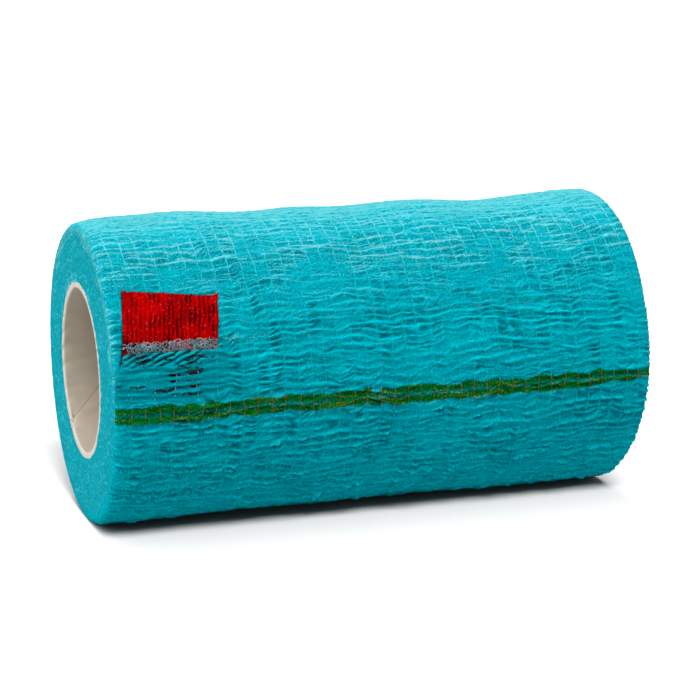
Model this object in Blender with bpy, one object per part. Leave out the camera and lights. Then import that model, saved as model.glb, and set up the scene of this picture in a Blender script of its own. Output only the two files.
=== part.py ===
"""Cohesive bandage roll: a crinkled elastic cloth wound on a paperboard tube, its pull tab under the loose end.

Metres, +Z up. The roll lies along X on the plane Z = 0, with the middle of its width at X = 0.
A turn angle is in degrees round the roll's axis: 0 faces the front (-Y), 90 the top (+Z), 180 the back.
An arc is a length along the outer turn, in metres from the front line at angle 0, positive upwards.
"""

import math
import random

import bmesh
import bpy

MM = 0.001

# Driving dimensions
CLOTH_WIDTH = 100 * MM
CLOTH_THICKNESS = 1.0 * MM
ROLL_RADIUS = 27.5 * MM
TUBE_OUTER_RADIUS = 15.7 * MM
TUBE_WALL = 1.5 * MM
SEAT_GAP = 0.3 * MM

# The loose end: the outermost turn comes up the front and stops at its cut edge
CUT_ANGLE = 20.8
LOOSE_END_SLANT = 1.8 * MM

# The pull tab, a rectangle lying askew on the roll's front near the -X end
TAB_WIDTH = 16.7 * MM
TAB_LENGTH = 18.0 * MM
TAB_THICKNESS = 1.0 * MM
TAB_TURN = math.radians(-7.2)
TAB_CENTRE_X = -39.7 * MM
TAB_CENTRE_ARC = 9.9 * MM
TAB_RIBS = 21
TAB_RIB_DEPTH = 0.3 * MM
TAB_ROWS = 9

# How far the tab presses into the turn below, and how wide the pressed bed is round it
BED_DEPTH = 0.8 * MM
BED_MARGIN = 1.6 * MM
BED_FADE = 3.6 * MM

# The crinkle: ridges along X, each a crest line and a furrow line of the mesh
RIDGES = 84
RING_STEPS = 2 * RIDGES
STEP_ANGLE = 360 / RING_STEPS
LOOSE_STEPS = 13
SLIT_OPENS_IN = 3
ROOT_STEP = RING_STEPS - LOOSE_STEPS
ROOT_ANGLE = CUT_ANGLE - LOOSE_STEPS * STEP_ANGLE
RIDGE_HEIGHT = 0.5 * MM
RIDGE_JITTER = 0.22
RIDGES_GROW_IN = 3
CRINKLE_SEED = 7

# The ridge lines run straighter over the loose end: their share of the waves, and the angle it fades over
CALM_SHARE = 0.25
CALM_FADE = 24

# The flat spot that the roll rests on
REST_ANGLE = 270
FLAT_HALF_ANGLE = 8
PRESSED_HALF_ANGLE = 18

# Cross-sections along the width, and the rounded shoulder of each end as (distance from end, inset)
SECTIONS = 24
SHOULDER = ((0.0 * MM, 1.0 * MM), (1.0 * MM, 0.2 * MM))

TUBE_SIDES = 64
TUBE_EDGE = 0.25 * MM

# Slow waves of the ridge lines: height of the wave, its length along X, whole cycles round the turn, phase
RIDGE_WAVES = (
    {"height": 0.62 * MM, "length": 34 * MM, "cycles": 3, "phase": 0.4},
    {"height": 0.40 * MM, "length": 19 * MM, "cycles": -7, "phase": 2.1},
    {"height": 0.22 * MM, "length": 11 * MM, "cycles": 12, "phase": 4.6},
)

# Swells and hollows of the wound form: middle, half length along X, half spread round the turn, height
SWELLS = (
    {"x": -30 * MM, "angle": 99, "half_length": 6.0 * MM, "spread": 28, "height": 0.35 * MM},
    {"x": -19 * MM, "angle": 99, "half_length": 5.0 * MM, "spread": 28, "height": -0.45 * MM},
    {"x": -8 * MM, "angle": 99, "half_length": 7.0 * MM, "spread": 28, "height": 0.15 * MM},
    {"x": 0 * MM, "angle": 99, "half_length": 5.0 * MM, "spread": 25, "height": -0.30 * MM},
    {"x": 16 * MM, "angle": 99, "half_length": 7.0 * MM, "spread": 28, "height": 0.30 * MM},
    {"x": 27 * MM, "angle": 99, "half_length": 5.5 * MM, "spread": 28, "height": -0.55 * MM},
    {"x": 41 * MM, "angle": 99, "half_length": 6.0 * MM, "spread": 28, "height": 0.20 * MM},
    {"x": 51 * MM, "angle": 99, "half_length": 4.0 * MM, "spread": 38, "height": -0.50 * MM},
    {"x": -6 * MM, "angle": 40, "half_length": 9.0 * MM, "spread": 16, "height": 0.25 * MM},
    {"x": 14 * MM, "angle": 28, "half_length": 8.0 * MM, "spread": 12, "height": -0.25 * MM},
    {"x": 33 * MM, "angle": 8, "half_length": 9.0 * MM, "spread": 14, "height": 0.25 * MM},
    {"x": -21 * MM, "angle": 290, "half_length": 6.0 * MM, "spread": 20, "height": -0.30 * MM},
    {"x": 7 * MM, "angle": 290, "half_length": 7.0 * MM, "spread": 20, "height": -0.20 * MM},
    {"x": 31 * MM, "angle": 300, "half_length": 9.0 * MM, "spread": 18, "height": 0.28 * MM},
    {"x": -36 * MM, "angle": 215, "half_length": 8.0 * MM, "spread": 26, "height": 0.30 * MM},
    {"x": -14 * MM, "angle": 190, "half_length": 7.0 * MM, "spread": 24, "height": -0.30 * MM},
    {"x": 9 * MM, "angle": 165, "half_length": 8.0 * MM, "spread": 22, "height": 0.28 * MM},
    {"x": 28 * MM, "angle": 205, "half_length": 7.0 * MM, "spread": 26, "height": -0.32 * MM},
)

# Worked out from the sizes above
BORE_RADIUS = TUBE_OUTER_RADIUS + SEAT_GAP
REST_RADIUS = ROLL_RADIUS + CLOTH_THICKNESS * ((REST_ANGLE - CUT_ANGLE) / 360 - 0.5)
AXIS_HEIGHT = REST_RADIUS * math.cos(math.radians(FLAT_HALF_ANGLE))


def smooth(share):
    """0 to 1 with level ends, held at 0 below 0 and at 1 above 1."""
    share = min(1.0, max(0.0, share))
    return share * share * (3 - 2 * share)


def angle_apart(first, second):
    """The smallest angle between two turn angles, in degrees."""
    return abs((first - second + 180) % 360 - 180)


def swell(x, angle):
    """The uneven wound form: how far the surface stands out of the true spiral."""
    total = 0.0
    for row in SWELLS:
        along = (x - row["x"]) / row["half_length"]
        across = angle_apart(angle, row["angle"]) / row["spread"]
        total += row["height"] * math.exp(-0.5 * (along * along + across * across))
    return total


def ridge_shift(x, base):
    """How far a ridge line that starts at the angle base wanders round the turn at x, in degrees."""
    arc = sum(
        wave["height"]
        * math.sin(2 * math.pi * x / wave["length"] + math.radians(wave["cycles"] * base) + wave["phase"])
        for wave in RIDGE_WAVES
    )
    from_loose_end = angle_apart(base, (CUT_ANGLE + ROOT_ANGLE) / 2) - (CUT_ANGLE - ROOT_ANGLE) / 2
    share = CALM_SHARE + (1 - CALM_SHARE) * smooth(from_loose_end / CALM_FADE)
    return share * math.degrees(arc / ROLL_RADIUS)


def spiral_radius(angle):
    """The outer surface's radius, one cloth thickness more for each turn past the cut edge."""
    return ROLL_RADIUS + CLOTH_THICKNESS * ((angle - CUT_ANGLE) / 360 - 0.5)


def shoulder_inset(x):
    """How far the rounded end draws the surface in at x."""
    from_end = CLOTH_WIDTH / 2 - abs(x)
    (start, most), (stop, least) = SHOULDER
    if from_end >= 2 * stop:
        return 0.0
    if from_end >= stop:
        return least * (2 - from_end / stop)
    return most + (least - most) * (from_end - start) / (stop - start)


def tab_frame(x, arc):
    """A point of the unrolled surface in the tab's own directions: across its ribs, and along them."""
    dx, da = x - TAB_CENTRE_X, arc - TAB_CENTRE_ARC
    cos, sin = math.cos(TAB_TURN), math.sin(TAB_TURN)
    return dx * cos + da * sin, da * cos - dx * sin


def bed_share(x, angle):
    """Where the tab presses into the turn below: 1 under it and out to the -X end, fading to 0 round it."""
    near = (angle + 180) % 360 - 180
    across, along = tab_frame(x, math.radians(near) * ROLL_RADIUS)
    outside = max(across - TAB_WIDTH / 2, abs(along) - TAB_LENGTH / 2)
    return 1 - smooth((outside - BED_MARGIN) / BED_FADE)


def opened(step):
    """How far the slit under the loose end has opened at that step from its root, 0 to 1."""
    return smooth((step - ROOT_STEP) / SLIT_OPENS_IN)


def make_ridges():
    """One row per mesh line round the turn: its side (crest 1, furrow -1), its jitter, and how it swells along X."""
    draw = random.Random(CRINKLE_SEED)
    rows = []
    for step in range(RING_STEPS):
        rows.append(
            {
                "side": 1 if step % 2 == 0 else -1,
                "jitter": draw.uniform(-RIDGE_JITTER, RIDGE_JITTER),
                "length": draw.uniform(16, 38) * MM,
                "phase": draw.uniform(0, 2 * math.pi),
            }
        )
    return rows


def ridge_relief(row, x, angle):
    """How far the crinkle lifts a crest or sinks a furrow at x, less where the roll is pressed flat."""
    strength = 0.68 + 0.32 * math.sin(2 * math.pi * x / row["length"] + row["phase"])
    from_rest = angle_apart(angle, REST_ANGLE)
    pressed = smooth((from_rest - FLAT_HALF_ANGLE) / (PRESSED_HALF_ANGLE - FLAT_HALF_ANGLE))
    return row["side"] * RIDGE_HEIGHT / 2 * strength * pressed


def on_roll(x, angle, radius):
    """The point at that angle and radius, kept above the surface the roll rests on."""
    turn = math.radians(angle)
    height = AXIS_HEIGHT + radius * math.sin(turn)
    return (x, -radius * math.cos(turn), max(height, 0.0))


def section_lines():
    """The closed outline of a cross-section: one function of the share of the width per mesh line.

    It runs from the cut edge's foot over the top, back and bottom to the cut edge's lip, back along the
    loose end's underside to its root, and forward again on the turn below.
    """
    ridges = make_ridges()

    def placed_x(share, step):
        """x at that share of the width, drawn in at the -X end of the loose end."""
        freed = smooth((step - ROOT_STEP) / LOOSE_STEPS)
        low = -CLOTH_WIDTH / 2 + LOOSE_END_SLANT * freed
        return low + share * (CLOTH_WIDTH / 2 - low)

    def true_form(x, base, angle):
        return spiral_radius(base) + swell(x, angle) - shoulder_inset(x)

    def loose_end_lift(x, angle, step):
        """How far the loose end stands off its true spiral, over the slit and over the tab."""
        over_tab = SEAT_GAP + TAB_THICKNESS + SEAT_GAP - BED_DEPTH
        return opened(step) * (SEAT_GAP + (over_tab - SEAT_GAP) * bed_share(x, angle))

    def outer(step):
        row = ridges[step % RING_STEPS]
        exposed = step < ROOT_STEP
        base = CUT_ANGLE + (step + (row["jitter"] if 0 < step and exposed else 0.0)) * STEP_ANGLE

        def point(share):
            x = placed_x(share, step)
            angle = base + ridge_shift(x, base)
            relief = ridge_relief(row, x, angle)
            if not exposed:
                return on_roll(x, angle, true_form(x, base, angle) + loose_end_lift(x, angle, step) + relief)
            bed = bed_share(x, angle) if step < RING_STEPS / 2 else 0.0
            relief *= (1 - bed) * smooth(step / RIDGES_GROW_IN)
            return on_roll(x, angle, true_form(x, base, angle) - BED_DEPTH * bed + relief)

        return point

    def underside(step):
        base = CUT_ANGLE + (step - RING_STEPS) * STEP_ANGLE

        def point(share):
            x = placed_x(share, step)
            angle = base + ridge_shift(x, base)
            return on_roll(x, angle, true_form(x, base, angle) + loose_end_lift(x, angle, step))

        return point

    def turn_below(step):
        base = CUT_ANGLE + (step - RING_STEPS) * STEP_ANGLE

        def point(share):
            x = placed_x(share, ROOT_STEP)
            angle = base + ridge_shift(x, base)
            bed = opened(step) * bed_share(x, angle)
            return on_roll(x, angle, true_form(x, base, angle) - BED_DEPTH * bed)

        return point

    lines = [outer(step) for step in range(RING_STEPS + 1)]
    lines += [underside(step) for step in range(RING_STEPS, ROOT_STEP, -1)]
    lines += [turn_below(step) for step in range(ROOT_STEP, RING_STEPS)]
    return lines


def width_shares():
    """Where the cross-sections lie, as shares of the cloth's width."""
    shoulder = [distance / CLOTH_WIDTH for distance, _ in SHOULDER]
    inner = 3 * shoulder[-1]
    middle = [inner + (1 - 2 * inner) * n / (SECTIONS - 1) for n in range(SECTIONS)]
    return shoulder + middle + [1 - share for share in reversed(shoulder)]


def finish_object(name, mesh_builder, material):
    """A named object from a filled bmesh, its normals facing out."""
    bmesh.ops.recalc_face_normals(mesh_builder, faces=mesh_builder.faces)
    mesh = bpy.data.meshes.new(name)
    mesh_builder.to_mesh(mesh)
    mesh_builder.free()
    mesh.materials.append(material)
    mesh.shade_smooth()
    mesh.set_sharp_from_angle(angle=math.radians(50))
    made = bpy.data.objects.new(name, mesh)
    bpy.context.scene.collection.objects.link(made)
    return made


def loft(mesh_builder, rows, closed):
    """Quads between neighbouring rows of vertices."""
    for first, second in zip(rows, rows[1:]):
        count = len(first)
        for n in range(count if closed else count - 1):
            m = (n + 1) % count
            mesh_builder.faces.new((first[n], first[m], second[m], second[n]))


def make_bandage(material):
    """The wound cloth, one solid with its loose end a little apart from the turn below."""
    work = bmesh.new()
    lines = section_lines()
    shares = width_shares()
    outer_rows = [[work.verts.new(line(share)) for line in lines] for share in shares]
    loft(work, outer_rows, closed=True)

    root_line = len(lines) - LOOSE_STEPS
    bore_rows = []
    for row, x in ((outer_rows[0], -CLOTH_WIDTH / 2), (outer_rows[-1], CLOTH_WIDTH / 2)):
        bore = [
            work.verts.new(on_roll(x, CUT_ANGLE + 2 * n * STEP_ANGLE, BORE_RADIUS)) for n in range(RIDGES)
        ]
        bore_rows.append(bore)
        # The face of the end, from the bore to the outer turn and to the turn below the loose end
        ring = row[:ROOT_STEP] + row[root_line:]
        for n in range(RIDGES):
            outside = [ring[(2 * n + k) % RING_STEPS] for k in range(3)]
            work.faces.new((bore[(n + 1) % RIDGES], bore[n], *outside))
        # The loose end's own edge, from its root to its lip
        work.faces.new((row[ROOT_STEP - 1], row[ROOT_STEP], row[root_line]))
        for step in range(ROOT_STEP, RING_STEPS):
            under = root_line - (step - ROOT_STEP)
            work.faces.new((row[step], row[step + 1], row[under - 1], row[under]))
    loft(work, bore_rows, closed=True)
    return finish_object("bandage_roll", work, material)


def make_tab(material):
    """The ribbed pull tab, curved to the roll, its lower half under the loose end."""
    work = bmesh.new()
    columns = 2 * TAB_RIBS
    cos, sin = math.cos(TAB_TURN), math.sin(TAB_TURN)

    def row_at(row, height_of):
        verts = []
        for column in range(columns + 1):
            across = TAB_WIDTH * (column / columns - 0.5)
            along = TAB_LENGTH * (row / TAB_ROWS - 0.5)
            x = TAB_CENTRE_X + across * cos - along * sin
            arc = TAB_CENTRE_ARC + across * sin + along * cos
            angle = math.degrees(arc / ROLL_RADIUS)
            below = spiral_radius(angle) + swell(x, angle) - BED_DEPTH + SEAT_GAP
            verts.append(work.verts.new(on_roll(x, angle, below + height_of(column))))
        return verts

    def ribbed(column):
        return TAB_THICKNESS - (TAB_RIB_DEPTH if column % 2 == 0 else 0.0)

    def level(column):
        return 0.0

    top = [row_at(row, ribbed) for row in range(TAB_ROWS + 1)]
    bottom = [row_at(row, level) for row in range(TAB_ROWS + 1)]
    loft(work, top, closed=False)
    loft(work, [list(reversed(row)) for row in bottom], closed=False)
    loft(work, [top[0], bottom[0]], closed=False)
    loft(work, [bottom[-1], top[-1]], closed=False)
    loft(work, [[row[0] for row in top], [row[0] for row in bottom]], closed=False)
    loft(work, [[row[-1] for row in bottom], [row[-1] for row in top]], closed=False)
    return finish_object("pull_tab", work, material)


def make_tube(material):
    """The paperboard tube, a turned ring with broken edges."""
    work = bmesh.new()
    end = CLOTH_WIDTH / 2
    inner = TUBE_OUTER_RADIUS - TUBE_WALL
    profile = (
        (-end + TUBE_EDGE, inner),
        (-end, inner + TUBE_EDGE),
        (-end, TUBE_OUTER_RADIUS - TUBE_EDGE),
        (-end + TUBE_EDGE, TUBE_OUTER_RADIUS),
        (end - TUBE_EDGE, TUBE_OUTER_RADIUS),
        (end, TUBE_OUTER_RADIUS - TUBE_EDGE),
        (end, inner + TUBE_EDGE),
        (end - TUBE_EDGE, inner),
    )
    rings = [
        [work.verts.new(on_roll(x, 360 * side / TUBE_SIDES, radius)) for side in range(TUBE_SIDES)]
        for x, radius in profile
    ]
    loft(work, rings + rings[:1], closed=True)
    return finish_object("core_tube", work, material)


def plain_material(name, colour, roughness):
    """A Principled material of one linear colour."""
    material = bpy.data.materials.new(name)
    material.use_nodes = True
    shader = material.node_tree.nodes["Principled BSDF"]
    shader.inputs["Base Color"].default_value = (*colour, 1.0)
    shader.inputs["Roughness"].default_value = roughness
    shader.inputs["Metallic"].default_value = 0.0
    return material


def main():
    for old in list(bpy.data.objects):
        bpy.data.objects.remove(old)
    make_bandage(plain_material("turquoise_cloth", (0.0, 0.42, 0.50), 0.95))
    make_tab(plain_material("red_tape", (0.62, 0.005, 0.006), 0.9))
    make_tube(plain_material("cream_paperboard", (0.62, 0.56, 0.45), 0.85))


main()
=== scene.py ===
"""The looks of a cohesive bandage roll: crinkled turquoise cloth, its elastic threads, pull tab and paperboard tube.

Metres, +Z up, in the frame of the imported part. The roll lies along X with its loose end at the front (-Y).
A turn angle is in degrees round the tube's axis: 0 faces the front, 90 the top, 180 the back.
An arc is a length along the outer turn from the front line, positive upwards.
"""

import math
from functools import partial

import bpy
import numpy as np
from bpy.props import FloatProperty, FloatVectorProperty, IntProperty, PointerProperty, StringProperty
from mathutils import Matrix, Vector


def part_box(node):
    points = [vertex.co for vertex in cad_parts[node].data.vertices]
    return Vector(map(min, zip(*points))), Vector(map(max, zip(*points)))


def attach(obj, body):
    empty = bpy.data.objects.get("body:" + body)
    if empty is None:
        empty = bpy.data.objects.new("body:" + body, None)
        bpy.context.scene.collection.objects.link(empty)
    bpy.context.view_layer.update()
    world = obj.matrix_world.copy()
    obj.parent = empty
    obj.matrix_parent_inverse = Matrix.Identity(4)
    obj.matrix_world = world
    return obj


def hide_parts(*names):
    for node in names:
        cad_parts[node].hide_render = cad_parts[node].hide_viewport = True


bl_info = {
    "name": "Cohesive Bandage Roll",
    "version": (1, 0, 0),
    "blender": (4, 5, 0),
    "location": "3D View > Sidebar > Bandage",
    "description": "Builds a crinkled elastic bandage roll with its pull tab, threads and paperboard tube",
    "category": "Object",
}

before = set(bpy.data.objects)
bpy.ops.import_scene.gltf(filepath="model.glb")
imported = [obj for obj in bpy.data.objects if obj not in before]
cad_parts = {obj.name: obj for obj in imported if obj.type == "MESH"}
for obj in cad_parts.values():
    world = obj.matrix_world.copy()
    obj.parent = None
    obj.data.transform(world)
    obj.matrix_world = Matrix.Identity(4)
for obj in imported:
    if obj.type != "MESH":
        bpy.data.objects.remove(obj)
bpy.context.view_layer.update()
TUBE_LOW, TUBE_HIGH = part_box("core_tube")

MM = 0.001

# The wound form, as in the part's source
AXIS_HEIGHT = (TUBE_LOW.z + TUBE_HIGH.z) / 2
TUBE_RADIUS = (TUBE_HIGH.z - TUBE_LOW.z) / 2 + 0.40 * MM
HALF_WIDTH = TUBE_HIGH.x
ROLL_RADIUS = 27.5 * MM
TURN_STEP = 1.0 * MM
CUT_ANGLE = 20.8
ROOT_ANGLE = -7.06
TURN_END_ANGLE = ROOT_ANGLE + 360
LOOSE_END_SLANT = 1.8 * MM
REST_ANGLE = 270

# The pull tab's place, as in the part's source
TAB_TURN = math.radians(-7.2)
TAB_CENTRE_X = -39.7 * MM
TAB_CENTRE_ARC = 9.9 * MM
TAB_WIDTH = 16.7 * MM
TAB_LENGTH = 18.0 * MM
TAB_TOP = 0.5 * MM

# How the web is drawn at the tab: the turn stands up to the tape's outline, and the torn edge lies some degrees lower
# than the cut edge
BED_DEPTH = 0.8 * MM
BED_INSET = 0.35 * MM
BED_FADE = 0.55 * MM
TORN_EDGE_DROP = 3.7

# How far the loose end's underside lies off the turn below it, and off the tape
LIFT_OFF_TURN = 0.22 * MM
LIFT_OFF_TAPE = 0.25 * MM
# How thick the loose end is away from the tape, as a share of its thickness there
THIN_WEB = 0.4

# The end of the roll where the loose end is raised by the tape, bunched and pulled apart: where that fades out, and
# over how long a way
RAISED_SIDE = -27.0 * MM
PATCH_SIDE = -28.0 * MM
SIDE_FADE = 4.5 * MM
# Left of this x the threads end before the bunched part, and the loose end's mesh is finer
TAB_SIDE = -29 * MM


def in_metres(*rows):
    """Rows of lengths that are given in millimetres."""
    return tuple(tuple(value * MM for value in row) for row in rows)


# Swells and hollows of the wound form, the last two where its ends are rounder or fuller:
# middle x (mm), middle angle, half length (mm), spread in degrees, height (mm)
SWELLS = tuple(
    (middle * MM, middle_angle, half_length * MM, spread, height * MM)
    for middle, middle_angle, half_length, spread, height in (
        (-30, 99, 6.0, 28, 0.35), (-19, 99, 5.0, 28, -0.45), (-8, 99, 7.0, 28, 0.15), (0, 99, 5.0, 25, -0.30),
        (16, 99, 7.0, 28, 0.30), (27, 99, 5.5, 28, -0.55), (41, 99, 6.0, 28, 0.20), (51, 99, 4.0, 38, -0.50),
        (-6, 40, 9.0, 16, 0.25), (14, 28, 8.0, 12, -0.25), (33, 8, 9.0, 14, 0.25), (-21, 290, 6.0, 20, -0.30),
        (7, 290, 7.0, 20, -0.20), (31, 300, 9.0, 18, 0.28), (-36, 215, 8.0, 26, 0.30), (-14, 190, 7.0, 24, -0.30),
        (9, 165, 8.0, 22, 0.28), (28, 205, 7.0, 26, -0.32), (-51, 100, 2.6, 30, -1.00), (51, 68, 6.0, 38, 1.45),
    )
)

# Bunched folds of the loose end over the tab: x, arc, half length, half width, height
PUFFS = in_metres(
    (-47.2, 7.70, 1.9, 0.55, 0.42), (-43.4, 7.70, 2.0, 0.55, 0.44), (-39.5, 7.75, 2.0, 0.55, 0.44),
    (-35.6, 8.05, 2.0, 0.50, 0.38), (-32.2, 7.95, 1.8, 0.55, 0.30), (-47.1, 6.30, 1.6, 0.40, 0.42),
    (-43.4, 6.25, 1.7, 0.40, 0.42), (-39.3, 6.30, 1.9, 0.45, 0.44), (-35.3, 6.45, 2.2, 0.45, 0.40),
    (-31.0, 6.20, 2.6, 0.55, 0.30), (-45.4, 5.35, 4.7, 0.62, 0.55), (-38.5, 5.10, 2.5, 0.42, 0.42),
    (-31.6, 4.90, 2.3, 0.60, 0.30), (-46.2, 3.80, 4.6, 0.75, 0.60), (-39.6, 4.10, 2.0, 0.36, 0.36),
    (-34.6, 3.75, 3.4, 0.36, 0.36), (-38.4, 3.00, 2.6, 0.30, 0.32), (-32.4, 2.55, 3.2, 0.55, 0.30),
    (-46.4, 2.10, 3.6, 0.60, 0.26), (-38.4, 1.75, 3.6, 0.42, 0.34), (-45.5, 0.80, 4.2, 0.60, 0.24),
    (-37.5, -0.10, 4.6, 0.60, 0.24), (-32.0, 1.00, 2.2, 0.60, 0.28),
)

# Gaps that have opened in the loose end: x, arc, half length, half width
GAPS = in_metres(
    (-48.5, 6.90, 0.55, 0.16), (-44.9, 6.90, 1.0, 0.17), (-41.0, 6.88, 1.0, 0.17), (-37.1, 6.92, 1.0, 0.17),
    (-34.7, 7.30, 1.0, 0.24), (-32.8, 7.05, 0.4, 0.20), (-37.9, 5.65, 1.1, 0.15), (-39.6, 4.58, 1.1, 0.16),
    (-38.3, 4.30, 1.0, 0.16), (-36.1, 4.85, 1.9, 0.50), (-39.5, 3.55, 0.8, 0.20), (-36.6, 3.30, 1.5, 0.13),
    (-38.9, 2.20, 1.6, 0.17), (-36.0, 2.30, 1.0, 0.18), (-41.8, 1.95, 1.2, 0.25), (-36.8, 1.00, 1.8, 0.24),
    (-39.6, 1.20, 0.9, 0.12), (-49.3, 3.10, 0.5, 0.13), (-47.1, 2.95, 0.8, 0.14), (-45.6, 2.75, 0.8, 0.10),
)

# Threads of the stretched part of the loose end, by x; the slanting folds between them lie between two arcs
(TAB_THREADS,) = in_metres((-51.3, -47.4, -43.3, -39.5, -35.7, -32.1, -28.2))
SLANTED = (5.7 * MM, 8.4 * MM)
SLANT_RISE = 1.5 * MM
SLANT_PITCH = 0.92 * MM

# The torn net over the tab: its ends, its lower edge, its thickness, and how far it and its strands stand off the tape
NET_SPAN = (-48.2 * MM, -31.4 * MM)
NET_LOW = 7.8 * MM
NET_THICKNESS = 0.06 * MM
NET_LIFT = 0.10 * MM
STRAND_LIFT = 0.16 * MM
# How many curled strands lie over the tab and beyond it, and where one gives way to the other
STRANDS_OVER_TAB, STRANDS_BEYOND = 290, 60
STRANDS_CHANGE = -31 * MM

# The elastic threads start just under the loose end, and the ones at the tab end before the stretched part
THREAD_START = 18.0
THREAD_END_AT_TAB = 358.0
# Radii of the threads over the tab and of a loose fibre, which is drawn thicker than it is so that it shows
TAB_THREAD_RADIUS = 0.05 * MM
FIBRE_RADIUS = 0.013 * MM

# The tube's helical seam starts at the left rim at this angle; nicks in that rim: angle, depth in millimetres
SEAM_START = -129.0
NICKS = ((164, 0.30), (176, 0.40), (188, 0.35), (214, 0.25), (236, 0.40))

# Round the turn, by angle: how deep the crinkle is, how much of it is broad folds, and how much loose fibre and
# painted top light is on it
CRINKLE_DEPTHS = (
    (0, 1.20), (10, 0.86), (22, 0.74), (35, 0.73), (52, 0.74), (68, 0.46), (85, 0.20), (110, 0.32),
    (140, 0.80), (200, 1.00), (270, 1.00), (320, 1.50), (350, 1.42), (360, 1.20),
)
BROAD_SHARES = (
    (0, 0.25), (22, 0.22), (35, 0.34), (48, 0.26), (65, 0.22), (85, 0.55), (140, 0.45), (270, 0.40),
    (325, 0.30), (360, 0.25),
)
FUZZ_AND_TOP_LIGHT_SHARES = (
    (0, 0.0), (28, 0.0), (40, 0.03), (55, 0.17), (70, 0.62), (85, 0.92), (125, 0.92), (150, 0.6), (200, 0.15),
    (260, 0.0), (360, 0.0),
)

# The outermost turn is drawn in stretches: name, first and last angle, mesh steps round the turn and across it
STRETCHES = (
    ("wound_cloth_front", ROOT_ANGLE - 3, 62, 0.18 * MM, 0.30 * MM),
    ("wound_cloth_upper", 62, 140, 0.24 * MM, 0.34 * MM),
    ("wound_cloth_back", 140, 262, 0.40 * MM, 0.50 * MM),
    ("wound_cloth_lower", 262, TURN_END_ANGLE, 0.22 * MM, 0.33 * MM),
)

# The loose end's mesh: steps across it over the tab and beyond, and rows up to its edge
FINE_STEP, COARSE_STEP = 0.15 * MM, 0.34 * MM
LOOSE_ROWS = 96

# The noise fields cover one turn and a little more than the cloth's width, and repeat seamlessly
TURN_LENGTH = 2 * math.pi * ROLL_RADIUS
FIELD_ROWS = 864
FIELD_COLUMNS = 448
FIELD_HALF_WIDTH = 56 * MM
ROW_STEP = TURN_LENGTH / FIELD_ROWS
COLUMN_STEP = 2 * FIELD_HALF_WIDTH / FIELD_COLUMNS

# Shoulder of the cloth's edge: its radius, and its mesh steps from the side to the face
SHOULDER_RADIUS = 1.1 * MM
SHOULDER_STEPS = 7

# How far apart the points are that a normal is worked out from
NORMAL_REACH = 0.12 * MM

# Half the side of the floor
FLOOR_HALF = 1.6


# ------------------------------------------------------------------ helpers


def linear(code):
    """An sRGB hex colour such as "#00A6B4" as linear RGBA."""
    channels = [int(code[n : n + 2], 16) / 255 for n in (1, 3, 5)]
    return tuple(c / 12.92 if c <= 0.04045 else ((c + 0.055) / 1.055) ** 2.4 for c in channels) + (1.0,)


def smooth(share):
    """0 to 1 with level ends, held at 0 below 0 and at 1 above 1."""
    share = np.clip(share, 0.0, 1.0)
    return share * share * (3 - 2 * share)


def mix(first, second, share):
    return first + (second - first) * share


def angle_apart(first, second):
    """The smallest angle between two turn angles, in degrees."""
    return np.abs((first - second + 180) % 360 - 180)


def bell(distance, width):
    """1 at distance 0, falling off on both sides as a bell curve of that width."""
    return np.exp(-0.5 * (distance / width) ** 2)


def arc_of(angle):
    """The arc of a turn angle, on past the front line where it is over 360."""
    return np.radians(angle) * ROLL_RADIUS


def angle_of(arc):
    """The turn angle at an arc."""
    return np.degrees(arc / ROLL_RADIUS)


# The setting of a mix node that mixes colours
RGBA = {"data_type": "RGBA"}


def add_node(tree, kind, inputs=None, output=None, **settings):
    """Add a shader node with its settings, each input a value or another node's output; returns its first output or
    the one that is named."""
    made = tree.nodes.new("ShaderNode" + kind)
    for name, value in settings.items():
        setattr(made, name, value)
    for name, value in (inputs or {}).items():
        if isinstance(value, bpy.types.NodeSocket):
            tree.links.new(value, made.inputs[name])
        else:
            made.inputs[name].default_value = value
    return made.outputs[output] if output else next(socket for socket in made.outputs if socket.enabled)


def new_material(name, **shader_values):
    """A material with one Principled BSDF whose sockets hold the constants; returns it, its tree and the shader."""
    material = bpy.data.materials.new(name)
    material.use_nodes = True
    tree = material.node_tree
    shader = tree.nodes["Principled BSDF"]
    for socket, value in shader_values.items():
        shader.inputs[socket.replace("_", " ")].default_value = value
    return material, tree, shader


def mesh_piece(name, points, faces, material, attributes=None, normals=None):
    """An object that rides on the part's one body, with smooth faces and named values per point."""
    mesh = bpy.data.meshes.new(name)
    mesh.from_pydata(np.asarray(points).tolist(), [], faces if isinstance(faces, list) else faces.tolist())
    mesh.materials.append(material)
    mesh.shade_smooth()
    for label, values in (attributes or {}).items():
        values = np.asarray(values, np.float32)
        whole = values.shape[-1] == 3 and values.ndim > 1
        layer = mesh.attributes.new(label, "FLOAT_VECTOR" if whole else "FLOAT", "POINT")
        layer.data.foreach_set("vector" if whole else "value", values.ravel())
    if normals is not None:
        mesh.normals_split_custom_set_from_vertices(np.asarray(normals).tolist())
    piece = bpy.data.objects.new(name, mesh)
    bpy.context.scene.collection.objects.link(piece)
    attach(piece, "root")
    return piece


def grid_faces(rows, columns, around=False):
    """Quads of a grid whose points run row by row; around joins the last column to the first."""
    low = np.arange(rows - 1)[:, None] * columns
    c = np.arange(columns if around else columns - 1)[None, :]
    following = (c + 1) % columns
    return np.stack([low + c, low + following, low + columns + following, low + columns + c], axis=-1).reshape(-1, 4)


def unit(vectors):
    return vectors / np.maximum(np.linalg.norm(vectors, axis=-1, keepdims=True), 1e-12)


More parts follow.
